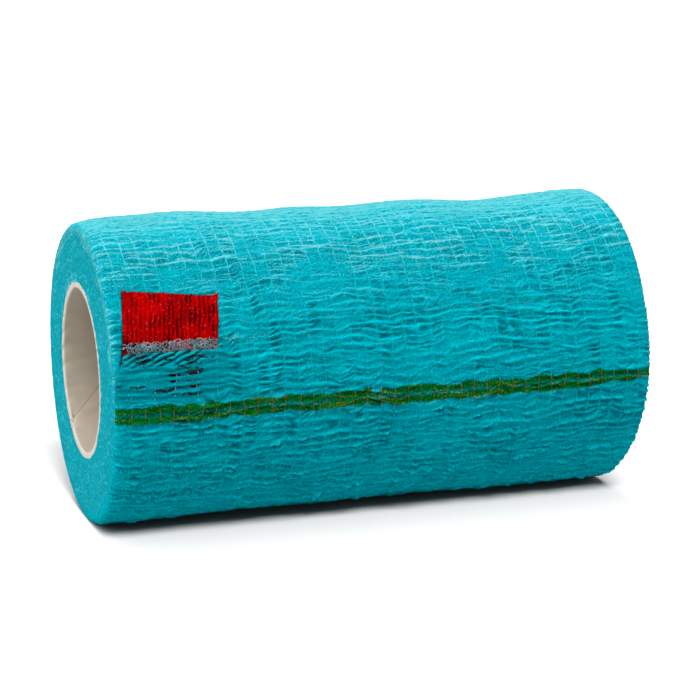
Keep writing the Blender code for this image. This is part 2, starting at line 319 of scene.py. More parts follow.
def thin_sheet(top, under, keep=None):
    """A closed thin sheet between two grids of points, without the quads that keep leaves out: its points, its faces,
    and which of the two grids' points they are."""
    rows, columns = top.shape[:2]
    count = rows * columns
    quads = grid_faces(rows, columns)
    if keep is not None:
        quads = quads[keep.ravel()]
    starts = quads.ravel()
    ends = np.roll(quads, -1, axis=1).ravel()
    forward, backward = starts * count + ends, ends * count + starts
    open_edge = ~np.isin(forward, backward)
    walls = np.stack([ends, starts, starts + count, ends + count], axis=-1)[open_edge]
    faces = np.concatenate([quads, quads[:, ::-1] + count, walls])
    points = np.concatenate([top.reshape(-1, 3), under.reshape(-1, 3)])
    used, faces = np.unique(faces, return_inverse=True)
    return points[used], faces.reshape(-1, 4), used


def on_both(values, used):
    """The values of a thin sheet's points, the same on its top and its underside."""
    return np.concatenate([values, values])[used]


def tubes(paths, outward, radius, sides=4):
    """Points and faces of closed thin tubes along paths of shape (tubes, points, 3); outward is across each path."""
    number, length = paths.shape[:2]
    tangent = unit(np.gradient(paths, axis=1))
    across = unit(np.cross(tangent, outward))
    up = np.cross(across, tangent)
    turn = (np.arange(sides) + 0.5) * 2 * math.pi / sides
    radius = np.broadcast_to(radius, (number, length))[:, :, None, None]
    ring = np.cos(turn)[:, None] * across[:, :, None] + np.sin(turn)[:, None] * up[:, :, None]
    points = (paths[:, :, None] + radius * ring).reshape(-1, 3)
    one = grid_faces(length, sides, around=True)[:, ::-1].tolist()
    one += [list(range(sides)), list(range((length - 1) * sides, length * sides))[::-1]]
    faces = [[corner + n * length * sides for corner in face] for n in range(number) for face in one]
    return points, faces


# ------------------------------------------------------------------ the crinkle


class Field:
    """A seamless noise field over the unrolled turn, read between its points."""

    def __init__(self, values):
        self.values = (values - values.mean()) / values.std()

    def at(self, arc, x):
        row = (arc / ROW_STEP) % FIELD_ROWS
        column = np.clip((x + FIELD_HALF_WIDTH) / COLUMN_STEP, 0, FIELD_COLUMNS - 1.001)
        r, c = np.floor(row).astype(int), np.floor(column).astype(int)
        down, along = row - r, column - c
        r, below = r % FIELD_ROWS, (r + 1) % FIELD_ROWS
        top = mix(self.values[r, c], self.values[r, c + 1], along)
        return mix(top, mix(self.values[below, c], self.values[below, c + 1], along), down)


def ridge_field(seed, pitch, spread, reach):
    """Complex waves a pitch apart up the turn; spread is how much the pitch varies, reach how long a line is kept."""
    noise = np.random.default_rng(seed).standard_normal((FIELD_ROWS, FIELD_COLUMNS))
    up = np.fft.fftfreq(FIELD_ROWS, ROW_STEP)[:, None]
    along = np.fft.fftfreq(FIELD_COLUMNS, COLUMN_STEP)[None, :]
    keep = np.exp(-0.5 * ((up * pitch - 1) / spread) ** 2 - 0.5 * (2 * math.pi * along * reach) ** 2)
    return Field(np.fft.ifft2(np.fft.fft2(noise) * keep * (up > 0)))


def ridges(field, arc, x, sharpness):
    """Height from furrow to crest in ridges that all stand about as high; a sharpness over 1 narrows the crests."""
    wave = field.at(arc, x)
    size = np.abs(wave)
    return ((1 + wave.real / np.maximum(size, 1e-9)) / 2) ** sharpness * np.clip(0.6 + 0.4 * size, 0, 1.3)


def soft_field(seed, up_size, along_size):
    """Soft blotches of about those sizes."""
    noise = np.random.default_rng(seed).standard_normal((FIELD_ROWS, FIELD_COLUMNS))
    up = np.abs(np.fft.fftfreq(FIELD_ROWS, ROW_STEP))[:, None]
    along = np.fft.rfftfreq(FIELD_COLUMNS, COLUMN_STEP)[None, :]
    keep = np.exp(-0.5 * (2 * math.pi * up * up_size) ** 2 - 0.5 * (2 * math.pi * along * along_size) ** 2)
    return Field(np.fft.irfft2(np.fft.rfft2(noise) * keep, s=noise.shape))


FINE_RIDGES = ridge_field(11, 1.50 * MM, 0.32, 1.5 * MM)
FOLD_RIDGES = ridge_field(21, 1.30 * MM, 0.32, 1.7 * MM)
BROAD_FOLDS = ridge_field(12, 2.5 * MM, 0.32, 2.2 * MM)
STRENGTH = soft_field(13, 2.4 * MM, 3.0 * MM)
CELLS = soft_field(19, 0.9 * MM, 0.5 * MM)
KINKS = soft_field(14, 1.1 * MM, 0.5 * MM)
WRINKLES = ridge_field(18, 0.80 * MM, 0.30, 0.45 * MM)
WANDER = soft_field(15, 5.0 * MM, 6.0 * MM)
FELT = soft_field(16, 0.16 * MM, 0.18 * MM)
WEAR = soft_field(17, 0.5 * MM, 0.9 * MM)
STREAKS = soft_field(20, 0.85 * MM, 0.26 * MM)


def swell(x, angle):
    """The uneven wound form: how far the surface stands out of the true spiral."""
    total = 0.0
    for middle, middle_angle, half_length, spread, height in SWELLS:
        along = (x - middle) / half_length
        across = angle_apart(angle, middle_angle) / spread
        total = total + height * np.exp(-0.5 * (along * along + across * across))
    return total


def spiral_radius(angle):
    """The outer surface's radius, one cloth thickness more for each turn past the cut edge."""
    return ROLL_RADIUS + TURN_STEP * ((angle - CUT_ANGLE) / 360 - 0.5)


def tab_frame(x, arc):
    """A point of the unrolled surface in the tab's own directions: across its ribs, and along them."""
    dx, da = x - TAB_CENTRE_X, arc - TAB_CENTRE_ARC
    cos, sin = math.cos(TAB_TURN), math.sin(TAB_TURN)
    return dx * cos + da * sin, da * cos - dx * sin


def tab_point(across, along):
    """The unrolled x and arc of a point in the tab's own directions."""
    cos, sin = math.cos(TAB_TURN), math.sin(TAB_TURN)
    return TAB_CENTRE_X + across * cos - along * sin, TAB_CENTRE_ARC + across * sin + along * cos


def bed_share(x, arc):
    """1 where the tab is pressed into the turn, fading to 0 round it."""
    across, along = tab_frame(x, arc)
    outside = np.maximum(np.abs(across) - TAB_WIDTH / 2, np.abs(along) - TAB_LENGTH / 2)
    return 1 - smooth((outside + BED_INSET) / BED_FADE)


def on_roll(x, angle, radius):
    """Points at those angles and radii, kept above the surface that the roll rests on."""
    turn = np.radians(angle)
    height = np.maximum(AXIS_HEIGHT + radius * np.sin(turn), 0.0)
    return np.stack(np.broadcast_arrays(x, -radius * np.cos(turn), height), axis=-1)


def near_thread(x, reach):
    """1 on an elastic thread, fading to 0 over the reach to either side."""
    sizes = bpy.context.scene.bandage_cloth
    off = (x / sizes.thread_pitch + 0.5) % 1.0 - 0.5
    return bell(off * sizes.thread_pitch, reach)


def fold_share(angle):
    """How far the sharp ridges give way to rounded folds with narrow furrows: most across the front and behind."""
    front = bell(angle_apart(angle, 20), 15)
    back = bell(angle_apart(angle, 205), 26)
    return np.clip(front + 0.8 * back, 0.0, 1.0)


def round_turn(profile, angle):
    """A profile of (angle, value) read at those angles."""
    angles, values = zip(*profile)
    return np.interp(np.asarray(angle) % 360, angles, values)


def fuzz_and_top_light_share(angle, tilt=0.0):
    """How much loose fibre and painted top light the web has: most on top, and half as much on the upper half of the
    rounded edges.
    """
    edge = 0.20 * smooth((80 - angle_apart(angle, 70)) / 30)
    return mix(round_turn(FUZZ_AND_TOP_LIGHT_SHARES, angle), edge, smooth(np.abs(tilt) / 0.6))


def thread_kink(x, arc):
    """How far a ridge line is moved up or down: straight between threads, bent at each of them."""
    pitch = bpy.context.scene.bandage_cloth.thread_pitch
    place = x / pitch
    before = np.floor(place)
    here, following = KINKS.at(arc, before * pitch), KINKS.at(arc, (before + 1) * pitch)
    return mix(here, following, place - before)


def ridge_line(x, arc):
    """How far up the turn a point lies once the ridges' kinks and wandering are taken out."""
    sizes = bpy.context.scene.bandage_cloth
    return arc + sizes.kink * thread_kink(x, arc) + sizes.wander * WANDER.at(arc, x)


def crinkle(x, arc):
    """The relief of the crinkled cloth above and below its middle surface, in metres."""
    sizes = bpy.context.scene.bandage_cloth
    angle = angle_of(arc)
    line, share = ridge_line(x, arc), fold_share(angle)
    narrow = mix(ridges(FINE_RIDGES, line, x, 2.8), ridges(FOLD_RIDGES, line, x, 2.3), share)
    broad = 1.2 * ridges(BROAD_FOLDS, line, x, 2.2)
    form = mix(narrow, broad, round_turn(BROAD_SHARES, angle)) - mix(0.28, 0.32, share)
    depth = mix(sizes.ridge_depth, sizes.fold_depth, share) * round_turn(CRINKLE_DEPTHS, angle)
    cell = np.floor(x / sizes.thread_pitch) + 0.5
    strength = 1.0 + 0.18 * STRENGTH.at(arc, x)
    strength = strength + 0.55 * CELLS.at(arc, cell * sizes.thread_pitch) * (1 - near_thread(x, 0.5 * MM))
    pressed = mix(0.35, 1.0, smooth((angle_apart(angle, REST_ANGLE) - 10) / 24))
    pinch = 1 - mix(0.62, 0.45, share) * near_thread(x, 0.30 * MM)
    wrinkles = 0.38 * ridges(WRINKLES, line + 0.3 * MM * KINKS.at(line, x), x, 1.4) - 0.12
    at_end = smooth((np.abs(x) - (HALF_WIDTH - 5 * MM)) / (4 * MM))
    return depth * np.clip(strength, 0.35, 1.7) * pressed * mix(1.0, 0.75, at_end) * (pinch * form + wrinkles)


def crest_line(x, arc):
    """Broken thin lines of 1 along the very top of the ridges, 0 beside them, where a highlight is painted."""
    share = fold_share(angle_of(arc))
    line = ridge_line(x, arc)
    narrow = mix(ridges(FINE_RIDGES, line, x, 14.0), ridges(FOLD_RIDGES, line, x, 9.0), share)
    wide = 0.75 * ridges(BROAD_FOLDS, line, x, 40.0)
    pitch = bpy.context.scene.bandage_cloth.thread_pitch
    of_cell = CELLS.at(arc, (np.floor(x / pitch) + 0.5) * pitch)
    broken = smooth(0.62 + 0.40 * WEAR.at(arc * 0.7, x * 0.45) + 0.30 * of_cell)
    return np.maximum(narrow, wide) * broken * (1 + 0.35 * near_thread(x, 0.22 * MM))


def web_place(x, arc):
    """Where a point lies on the flat web, for the patterns of its fibres."""
    x, arc = np.broadcast_arrays(x, arc)
    return np.stack([x, arc, 0 * x], axis=-1).reshape(-1, 3)


def crest_share(relief, angle):
    """0 in the furrows and 1 on the crests, for the colour, which paints shade into the furrows."""
    sizes = bpy.context.scene.bandage_cloth
    depth = sizes.ridge_depth * np.maximum(round_turn(CRINKLE_DEPTHS, angle), 0.42)
    return np.clip(0.38 + relief / depth, -0.5, 1.5)


def ink_share(x, arc):
    """How much of the printed line's ink the cloth holds there."""
    sizes = bpy.context.scene.bandage_cloth
    end = smooth((x - 30 * MM) / (20 * MM))
    middle = -sizes.line_middle + 0.5 * MM * end + 0.12 * MM * KINKS.at(arc * 0 + 40 * MM, x)
    half = sizes.line_width / 2 * mix(1.0, 0.62, end)
    inside = half - np.abs(arc - middle) + 0.16 * MM * WEAR.at(arc, x)
    weak = 0.40 * np.exp(-(((arc - middle) / (0.30 * half)) ** 2)) * smooth(0.5 + 0.7 * WANDER.at(arc * 0, x * 2))
    return smooth(0.5 + inside / (0.5 * MM)) * (1 - weak)


# ------------------------------------------------------------------ sizes and colours


def length_property(name, description, millimetres):
    """A length whose default is given in millimetres."""
    return FloatProperty(name=name, description=description, default=millimetres * MM, unit="LENGTH")


def colour_property(name, description, code):
    """A colour whose default is an sRGB hex value."""
    return StringProperty(name=name, description=description + ", sRGB", default=code)


class BandageCloth(bpy.types.PropertyGroup):
    ridge_depth: length_property("Ridge Depth", "From furrow to crest of the fine ridges", 0.50)
    fold_depth: length_property("Fold Depth", "From furrow to crest of the broad folds", 0.66)
    kink: length_property("Kink", "How far a ridge shifts from one thread to the next", 0.26)
    wander: length_property("Wander", "How far a ridge wanders round the turn", 0.40)
    thread_pitch: length_property("Thread Pitch", "Between neighbouring elastic threads", 2.5)
    thread_diameter: length_property("Thread Diameter", "Of one elastic thread", 0.13)
    web_thickness: length_property("Web Thickness", "Of the loose end between its ridges", 0.35)
    line_middle: length_property("Line Middle", "Arc below the front line of the printed line", 2.2)
    line_width: length_property("Line Width", "Of the printed line", 2.9)
    fibres: IntProperty(name="Fibres", description="Short fibres that stand out of the web", default=1500)
    # The furrow colour is painted shade, darker than the crests' colour
    furrow_shade_colour: colour_property("Furrow Colour", "In the furrows", "#007A86")
    crest_colour: colour_property("Crest Colour", "On the crests", "#00A0B0")
    # The ridge colour is a painted highlight along the ridge tops
    ridge_highlight_colour: colour_property("Ridge Colour", "Along the very top of a ridge", "#00B5C6")
    # The pale colour of loose fibres is also the colour of the painted top light
    fuzz_and_top_light_colour: colour_property("Fuzz Colour", "Of loose fibres", "#7CBFC2")
    # The haze colour is a painted sheen
    painted_sheen_colour: colour_property("Haze Colour", "Of fibres seen edge on", "#60ABAF")
    # The thin colour is painted shade, the dark below the web
    shade_through_web_colour: colour_property("Thin Colour", "Through the thinnest web", "#1C0A0E")
    line_colour: colour_property("Line Colour", "Of the printed line on its broad parts", "#006410")
    # The line's furrow colour is painted shade, and its crest colour the painted highlight along its ridges
    line_furrow_shade_colour: colour_property("Line Furrow Colour", "In its furrows", "#004400")
    line_ridge_highlight_colour: colour_property("Line Crest Colour", "Along its ridges", "#7E5E00")
    line_thread_colour: colour_property("Line Thread Colour", "On its threads", "#5E4600")
    thread_colour: colour_property("Thread Colour", "Of an elastic thread", "#00A4B2")
    torn_dark_colour: colour_property("Torn Dark Colour", "Of the torn net between its tufts", "#1A4852")
    torn_pale_colour: colour_property("Torn Pale Colour", "On the tufts of the torn net", "#84A4AC")
    curl_colour: colour_property("Curl Colour", "Of the darker curled fibres over the tab", "#3F909B")
    curl_pale_colour: colour_property("Curl Pale Colour", "Of the paler curled fibres over the tab", "#84A6AC")
    curl_beyond_colour: colour_property("Curl Beyond Colour", "Of the curled fibres beyond the tab", "#5CB8C0")


class BandageTab(bpy.types.PropertyGroup):
    ribs: IntProperty(name="Ribs", description="Ribs across the tape", default=21)
    rib_depth: length_property("Rib Depth", "Of the grooves", 0.30)
    rib_colour: colour_property("Rib Colour", "On the ribs", "#9E0000")
    # The groove colour is painted shade between the ribs
    groove_shade_colour: colour_property("Groove Colour", "Between the ribs", "#520000")
    lint_colour: colour_property("Lint Colour", "Of specks of lint", "#B25C6E")


class BandageTube(bpy.types.PropertyGroup):
    wall: length_property("Wall", "Of the paperboard tube", 1.2)
    seam_lead: length_property("Seam Lead", "Length along the tube for one turn of the seam", 88)
    board_colour: colour_property("Board Colour", "Of the inside", "#A09686")
    seam_colour: colour_property("Seam Colour", "Of the gap along the seam", "#6E5F45")
    rim_colour: colour_property("Rim Colour", "Of the cut rim", "#B4AEA5")


class BandageStage(bpy.types.PropertyGroup):
    lens: FloatProperty(name="Lens", description="Focal length on a 36 mm sensor", default=111.74, unit="CAMERA")
    azimuth: FloatProperty(name="Azimuth", description="Camera's angle from the front, degrees", default=-19.25)
    elevation: FloatProperty(name="Elevation", description="Camera's angle above level, degrees", default=12.5)
    distance: length_property("Distance", "From camera to target", 407.5)
    target: FloatVectorProperty(
        name="Target", description="Where the camera looks", default=(1.4 * MM, 0, 27.4 * MM), unit="LENGTH"
    )
    light_from: FloatVectorProperty(
        name="Light From", description="Direction that the soft light comes from", default=(-0.32, -0.24, 0.92)
    )
    overhead: FloatProperty(name="Overhead", description="Strength of the soft light", default=5.3)
    floor_wash: FloatProperty(name="Floor Wash", description="Strength of the light on the floor alone", default=10.5)
    sky: FloatProperty(name="Sky", description="Strength of the light from all round", default=0.42)
    floor_colour: colour_property("Floor Colour", "Of the floor", "#8E8E8E")


# ------------------------------------------------------------------ materials


def cloth_material():
    """Nonwoven web of short fibres, laid wet on stretched elastic and let shrink: matt. Its colour holds painted shade
    in the furrows, pale loose fibres and painted top light on the crests, a painted highlight along the ridge tops,
    painted shade seen through the thinnest web, and a painted sheen where it is seen edge on.
    """
    colours = bpy.context.scene.bandage_cloth
    material, tree, shader = new_material(
        "crinkled_nonwoven_cloth",
        Roughness=0.95,
        Specular_IOR_Level=0.0,
        Sheen_Weight=0.04,
        Sheen_Roughness=0.3,
        Sheen_Tint=linear(colours.crest_colour),
    )
    add = partial(add_node, tree)
    place = add("Attribute", output="Vector", attribute_name="web")
    crest, line, ink, fuzz_and_top_light, thin = (
        add("Attribute", output="Fac", attribute_name=name) for name in ("crest", "line", "ink", "fuzz_and_top_light", "thin")
    )
    # Fibres are 0.02 mm thick; drawn as clumps of 0.35 mm, lines of a net with 0.6 mm meshes, and pores of 0.22 mm
    clumps = add("TexNoise", {"Vector": place, "Scale": 1 / (0.35 * MM), "Detail": 4.0, "Roughness": 0.8})
    pores = add("TexNoise", {"Vector": place, "Scale": 1 / (0.22 * MM), "Detail": 1.0})
    pores = add("MapRange", {"Value": pores, "From Min": 0.38, "From Max": 0.28, "To Max": -1.2})
    shift = add("TexNoise", {"Vector": place, "Scale": 1 / (0.8 * MM), "Detail": 1.0}, output="Color")
    bent = add("VectorMath", {0: shift, 1: (0.7 * MM, 0.7 * MM, 0), 2: place}, operation="MULTIPLY_ADD")
    meshes = add("TexVoronoi", {"Vector": bent, "Scale": 1 / (0.6 * MM)}, feature="DISTANCE_TO_EDGE")
    strands = add("MapRange", {"Value": meshes, "From Max": 0.14, "To Min": 1.0, "To Max": 0.0})
    clumped = add("Math", {0: clumps, 1: 3.4, 2: -1.7}, operation="MULTIPLY_ADD")
    netted = add("Math", {0: strands, 1: 0.40, 2: clumped}, operation="MULTIPLY_ADD")
    raised = add("Math", {0: netted, 1: pores}, operation="ADD")
    height = add("Math", {0: crest, 1: raised}, operation="ADD")
    # Painted shade: the furrows are coloured darker than the crests, less so where loose fibres and painted top light
    # lift them
    unshaded_share = add("Math", {0: fuzz_and_top_light, 1: 0.35, 2: height}, operation="MULTIPLY_ADD", use_clamp=True)
    dyed_and_shaded = add("Mix", {"Factor": unshaded_share, "A": linear(colours.furrow_shade_colour), "B": linear(colours.crest_colour)}, **RGBA)
    # Blotches of 5 mm, where the web is a little thicker or thinner
    blotches = add("TexNoise", {"Vector": place, "Scale": 1 / (5 * MM), "Detail": 2.0})
    value = add("MapRange", {"Value": blotches, "From Min": 0.3, "From Max": 0.7, "To Min": 0.92, "To Max": 1.08})
    cloudy = add("HueSaturation", {"Color": dyed_and_shaded, "Value": value})
    # The printed line has the same painted shade in its furrows
    ink_colours = {"A": linear(colours.line_furrow_shade_colour), "B": linear(colours.line_colour)}
    printed = add("Mix", {"Factor": unshaded_share, **ink_colours}, **RGBA)
    taken_up = add("Math", {0: clumps, 1: -3.0, 2: 2.60}, operation="MULTIPLY_ADD")
    held_ink = add("Math", {0: ink, 1: taken_up}, operation="MULTIPLY", use_clamp=True)
    colour = add("Mix", {"Factor": held_ink, "A": cloudy, "B": printed}, **RGBA)
    # Painted top light: the crests turn pale, with loose fibres, most on the upper side of the roll
    top_light_most = add("Math", {0: fuzz_and_top_light, 1: 0.6}, operation="MULTIPLY")
    on_crest = add("Math", {0: raised, 1: 1.1, 2: crest}, operation="MULTIPLY_ADD")
    crest_top_light = add("MapRange", {"Value": on_crest, "From Min": 0.90, "From Max": 1.40, "To Max": top_light_most})
    with_top_light = add("Mix", {"Factor": crest_top_light, "A": colour, "B": linear(colours.fuzz_and_top_light_colour)}, **RGBA)
    # A painted highlight: a thin line along the top of each ridge is paler, paler still under the painted top light,
    # and in the printed line it turns olive
    top_light_on_ridges = add("Math", {0: fuzz_and_top_light, 1: 8.0}, operation="MULTIPLY", use_clamp=True)
    ridge_highlight_colours = {"A": linear(colours.ridge_highlight_colour), "B": linear(colours.fuzz_and_top_light_colour)}
    ridge_highlight = add("Mix", {"Factor": top_light_on_ridges, **ridge_highlight_colours}, **RGBA)
    line_colour = add("Mix", {"Factor": ink, "A": ridge_highlight, "B": linear(colours.line_ridge_highlight_colour)}, **RGBA)
    line_most = add("Math", {0: fuzz_and_top_light, 1: -0.30, 2: 0.68}, operation="MULTIPLY_ADD", use_clamp=True)
    on_line = add("Math", {0: raised, 1: 0.65, 2: line}, operation="MULTIPLY_ADD")
    # The print hides all but the tallest of these lines
    speckled = add("Math", {0: raised, 1: 0.5, 2: -0.34}, operation="MULTIPLY_ADD")
    clear = add("Math", {0: ink, 1: speckled, 2: on_line}, operation="MULTIPLY_ADD")
    line_share = add("MapRange", {"Value": clear, "From Min": 0.30, "From Max": 0.80, "To Max": line_most})
    lined = add("Mix", {"Factor": line_share, "A": with_top_light, "B": line_colour}, **RGBA)
    # Painted shade: where the web is pulled thin, and in the furrows of the slanting folds, the shade below it is
    # painted dark between its fibres
    between = add("Math", {0: raised, 1: -0.9, 2: 1.05}, operation="MULTIPLY_ADD")
    shade_through_share = add("Math", {0: thin, 1: between}, operation="MULTIPLY", use_clamp=True)
    with_shade_through = add("Mix", {"Factor": shade_through_share, "A": lined, "B": linear(colours.shade_through_web_colour)}, **RGBA)
    # A painted sheen: the crests turn pale where the surface is seen near edge on, most under the painted top light
    facing = add("LayerWeight", {"Blend": 0.5}, output="Facing")
    sheen_most = add("Math", {0: fuzz_and_top_light, 1: 0.95, 2: 0.01}, operation="MULTIPLY_ADD")
    sheen_range = {"Value": facing, "From Min": 0.30, "From Max": 0.85, "To Max": sheen_most}
    edge_on = add("MapRange", sheen_range, interpolation_type="SMOOTHSTEP")
    sheen_on_crests = add("Math", {0: raised, 1: 0.4, 2: crest}, operation="MULTIPLY_ADD")
    painted_sheen = add("MapRange", {"Value": sheen_on_crests, "From Min": 0.12, "From Max": 0.60, "To Max": edge_on})
    with_painted_sheen = add("Mix", {"Factor": painted_sheen, "A": with_shade_through, "B": linear(colours.painted_sheen_colour)}, **RGBA)
    tree.links.new(with_painted_sheen, shader.inputs["Base Color"])
    relief = add("Math", {0: fuzz_and_top_light, 1: -0.6, 2: 1.0}, operation="MULTIPLY_ADD")
    bump = add("Bump", {"Height": raised, "Strength": relief, "Distance": 0.09 * MM})
    tree.links.new(bump, shader.inputs["Normal"])
    return material


def frayed_material():
    """The web where it has torn to single fibres: a grey-teal lint, matt, paler than the web."""
    colours = bpy.context.scene.bandage_cloth
    material, tree, shader = new_material("torn_web_lint", Roughness=0.95, Specular_IOR_Level=0.05)
    add = partial(add_node, tree)
    place = add("TexCoord", output="Object")
    # Tufts of 0.4 mm
    clumps = add("TexNoise", {"Vector": place, "Scale": 1 / (0.4 * MM), "Detail": 3.0, "Roughness": 0.7})
    share = add("MapRange", {"Value": clumps, "From Min": 0.35, "From Max": 0.65})
    torn_colours = {"A": linear(colours.torn_dark_colour), "B": linear(colours.torn_pale_colour)}
    colour = add("Mix", {"Factor": share, **torn_colours}, **RGBA)
    tree.links.new(colour, shader.inputs["Base Color"])
    return material


def lint_material():
    """Curled fibre ends of the torn web: matt, pale blue-grey."""
    colours = bpy.context.scene.bandage_cloth
    material, tree, shader = new_material("curled_web_fibres", Roughness=0.9, Specular_IOR_Level=0.05)
    add = partial(add_node, tree)
    place = add("TexCoord", output="Object")
    some = add("TexNoise", {"Vector": place, "Scale": 1 / (1.2 * MM)})
    share = add("MapRange", {"Value": some, "From Min": 0.4, "From Max": 0.6})
    curl_colours = {"A": linear(colours.curl_colour), "B": linear(colours.curl_pale_colour)}
    lint = add("Mix", {"Factor": share, **curl_colours}, **RGBA)
    # On the curled fibres this value marks only those beyond the tab
    fuzz_and_top_light = add("Attribute", output="Fac", attribute_name="fuzz_and_top_light")
    colour = add("Mix", {"Factor": fuzz_and_top_light, "A": lint, "B": linear(colours.curl_beyond_colour)}, **RGBA)
    tree.links.new(colour, shader.inputs["Base Color"])
    return material


def fibre_material():
    """Single polyester fibres, drawn thicker than their 0.02 mm: paler at random, and paler on the upper side of the
    roll with loose fibres and painted top light.
    """
    colours = bpy.context.scene.bandage_cloth
    material, tree, shader = new_material("loose_polyester_fibre", Roughness=0.8, Specular_IOR_Level=0.0)
    add = partial(add_node, tree)
    fuzz_and_top_light = add("Attribute", output="Fac", attribute_name="fuzz_and_top_light")
    place = add("TexCoord", output="Object")
    some = add("TexNoise", {"Vector": place, "Scale": 1 / (3 * MM)})
    share = add("Math", {0: some, 1: fuzz_and_top_light}, operation="ADD", use_clamp=True)
    colour = add("Mix", {"Factor": share, "A": linear(colours.crest_colour), "B": linear(colours.fuzz_and_top_light_colour)}, **RGBA)
    tree.links.new(colour, shader.inputs["Base Color"])
    return material


def thread_material():
    """Covered elastic thread, spun: a slightly paler, smoother line than the web it is bonded to, turning pale in
    places on the upper side of the roll with loose fibres and painted top light.
    """
    colours = bpy.context.scene.bandage_cloth
    material, tree, shader = new_material("spun_elastic_thread", Roughness=0.8, Specular_IOR_Level=0.0)
    add = partial(add_node, tree)
    ink, fuzz_and_top_light = (add("Attribute", output="Fac", attribute_name=name) for name in ("ink", "fuzz_and_top_light"))
    place = add("TexCoord", output="Object")
    lint = add("TexNoise", {"Vector": place, "Scale": 1 / (0.5 * MM), "Detail": 2.0})
    share = add("MapRange", {"Value": lint, "From Min": 0.42, "From Max": 0.58, "To Max": fuzz_and_top_light})
    plain_colours = {"A": linear(colours.thread_colour), "B": linear(colours.fuzz_and_top_light_colour)}
    plain = add("Mix", {"Factor": share, **plain_colours}, **RGBA)
    colour = add("Mix", {"Factor": ink, "A": plain, "B": linear(colours.line_thread_colour)}, **RGBA)
    tree.links.new(colour, shader.inputs["Base Color"])
    return material


def tape_material():
    """Cotton tape, woven with thick ribs along it, then coloured in a red dye bath: matt, with painted shade between
    the ribs, a painted shadow under the loose end, and pale lint.
    """
    colours = bpy.context.scene.bandage_tab
    material, tree, shader = new_material("ribbed_cotton_tape", Roughness=0.95, Specular_IOR_Level=0.0)
    add = partial(add_node, tree)
    place = add("Attribute", output="Vector", attribute_name="web")
    crest = add("Attribute", output="Fac", attribute_name="crest")
    # Yarns are 0.2 mm thick; their fibres are drawn as grains of 0.25 mm, and the lint on them as specks of 0.5 mm
    grain = add("TexNoise", {"Vector": place, "Scale": 1 / (0.25 * MM), "Detail": 3.0, "Roughness": 0.8})
    lint = add("TexNoise", {"Vector": place, "Scale": 1 / (0.5 * MM), "Detail": 3.0, "Roughness": 0.8})
    rough = add("Math", {0: grain, 1: 3.2, 2: -1.65}, operation="MULTIPLY_ADD")
    height = add("Math", {0: crest, 1: rough}, operation="ADD", use_clamp=True)
    # Painted shade: darker in the grooves, and a painted shadow under the loose end
    dyed_and_shaded = add("Mix", {"Factor": height, "A": linear(colours.groove_shade_colour), "B": linear(colours.rib_colour)}, **RGBA)
    specks = add("MapRange", {"Value": lint, "From Min": 0.58, "From Max": 0.74, "To Max": 0.5})
    colour = add("Mix", {"Factor": specks, "A": dyed_and_shaded, "B": linear(colours.lint_colour)}, **RGBA)
    tree.links.new(colour, shader.inputs["Base Color"])
    bump = add("Bump", {"Height": rough, "Strength": 0.8, "Distance": 0.06 * MM})
    tree.links.new(bump, shader.inputs["Normal"])
    return material


def board_material():
    """Spiral-wound grey-cream paperboard, calendered: matt and faintly mottled, paler on its cut rim."""
    colours = bpy.context.scene.bandage_tube
    material, tree, shader = new_material("wound_paperboard", Roughness=0.75, Specular_IOR_Level=0.25)
    add = partial(add_node, tree)
    place = add("TexCoord", output="Object")
    rim, seam = (add("Attribute", output="Fac", attribute_name=name) for name in ("rim", "seam"))
    # Pulp clouds of 2.2 mm
    pulp = add("TexNoise", {"Vector": place, "Scale": 1 / (2.2 * MM), "Detail": 5.0, "Roughness": 0.65})
    plain = add("Mix", {"Factor": rim, "A": linear(colours.board_colour), "B": linear(colours.rim_colour)}, **RGBA)
    value = add("MapRange", {"Value": pulp, "From Min": 0.3, "From Max": 0.7, "To Min": 0.94, "To Max": 1.05})
    mottled = add("HueSaturation", {"Color": plain, "Value": value})
    colour = add("Mix", {"Factor": seam, "A": mottled, "B": linear(colours.seam_colour)}, **RGBA)
    tree.links.new(colour, shader.inputs["Base Color"])
    bump = add("Bump", {"Height": pulp, "Strength": 0.3, "Distance": 0.1 * MM})
    tree.links.new(bump, shader.inputs["Normal"])
    return material


def shared_material(maker):
    """The material that maker makes, made once."""
    cache = shared_material.__dict__.setdefault("made", {})
    if maker.__name__ not in cache:
        cache[maker.__name__] = maker()
    return cache[maker.__name__]


# ------------------------------------------------------------------ the wound cloth


def cloth_columns(step):
    """The mesh columns across the cloth: x of each, and its tilt from the side (0) to either face (-1 or 1)."""
    straight = HALF_WIDTH - SHOULDER_RADIUS
    middle = np.linspace(-straight, straight, int(2 * straight / step) + 1)
    tilt = np.arange(1, SHOULDER_STEPS + 1) / SHOULDER_STEPS
    x = straight + SHOULDER_RADIUS * np.sin(tilt * math.pi / 2)
    return np.concatenate([-x[::-1], middle, x]), np.concatenate([-tilt[::-1], np.zeros(len(middle)), tilt])


def tab_side(x):
    """1 over the tab's end of the roll and 0 beyond the tab."""
    return smooth((RAISED_SIDE - x) / SIDE_FADE)


def outer_radius(x, angle):
    """The outermost turn's radius without its crinkle."""
    bed = np.where(angle < 180, bed_share(x, arc_of(angle)), 0.0)
    return spiral_radius(angle) + swell(x, angle) - BED_DEPTH * bed


def outer_relief(x, angle):
    """The outermost turn's crinkle, pressed flat beside the tape and left out under the loose end."""
    arc = arc_of(angle)
    bed = np.where(angle < 180, bed_share(x, arc), 0.0)
    under_loose_end = 1 - smooth((angle - CUT_ANGLE + 3.5) / 3.0)
    return crinkle(x, arc) * (1 - 0.85 * bed) * (1 - under_loose_end) + 0.03 * MM * FELT.at(arc, x)


def last_angle(x):
    """Where the loose end ends: at the cut edge, and lower at the torn edge over the tab."""
    return mix(CUT_ANGLE, CUT_ANGLE - TORN_EDGE_DROP, tab_side(x)) + 360


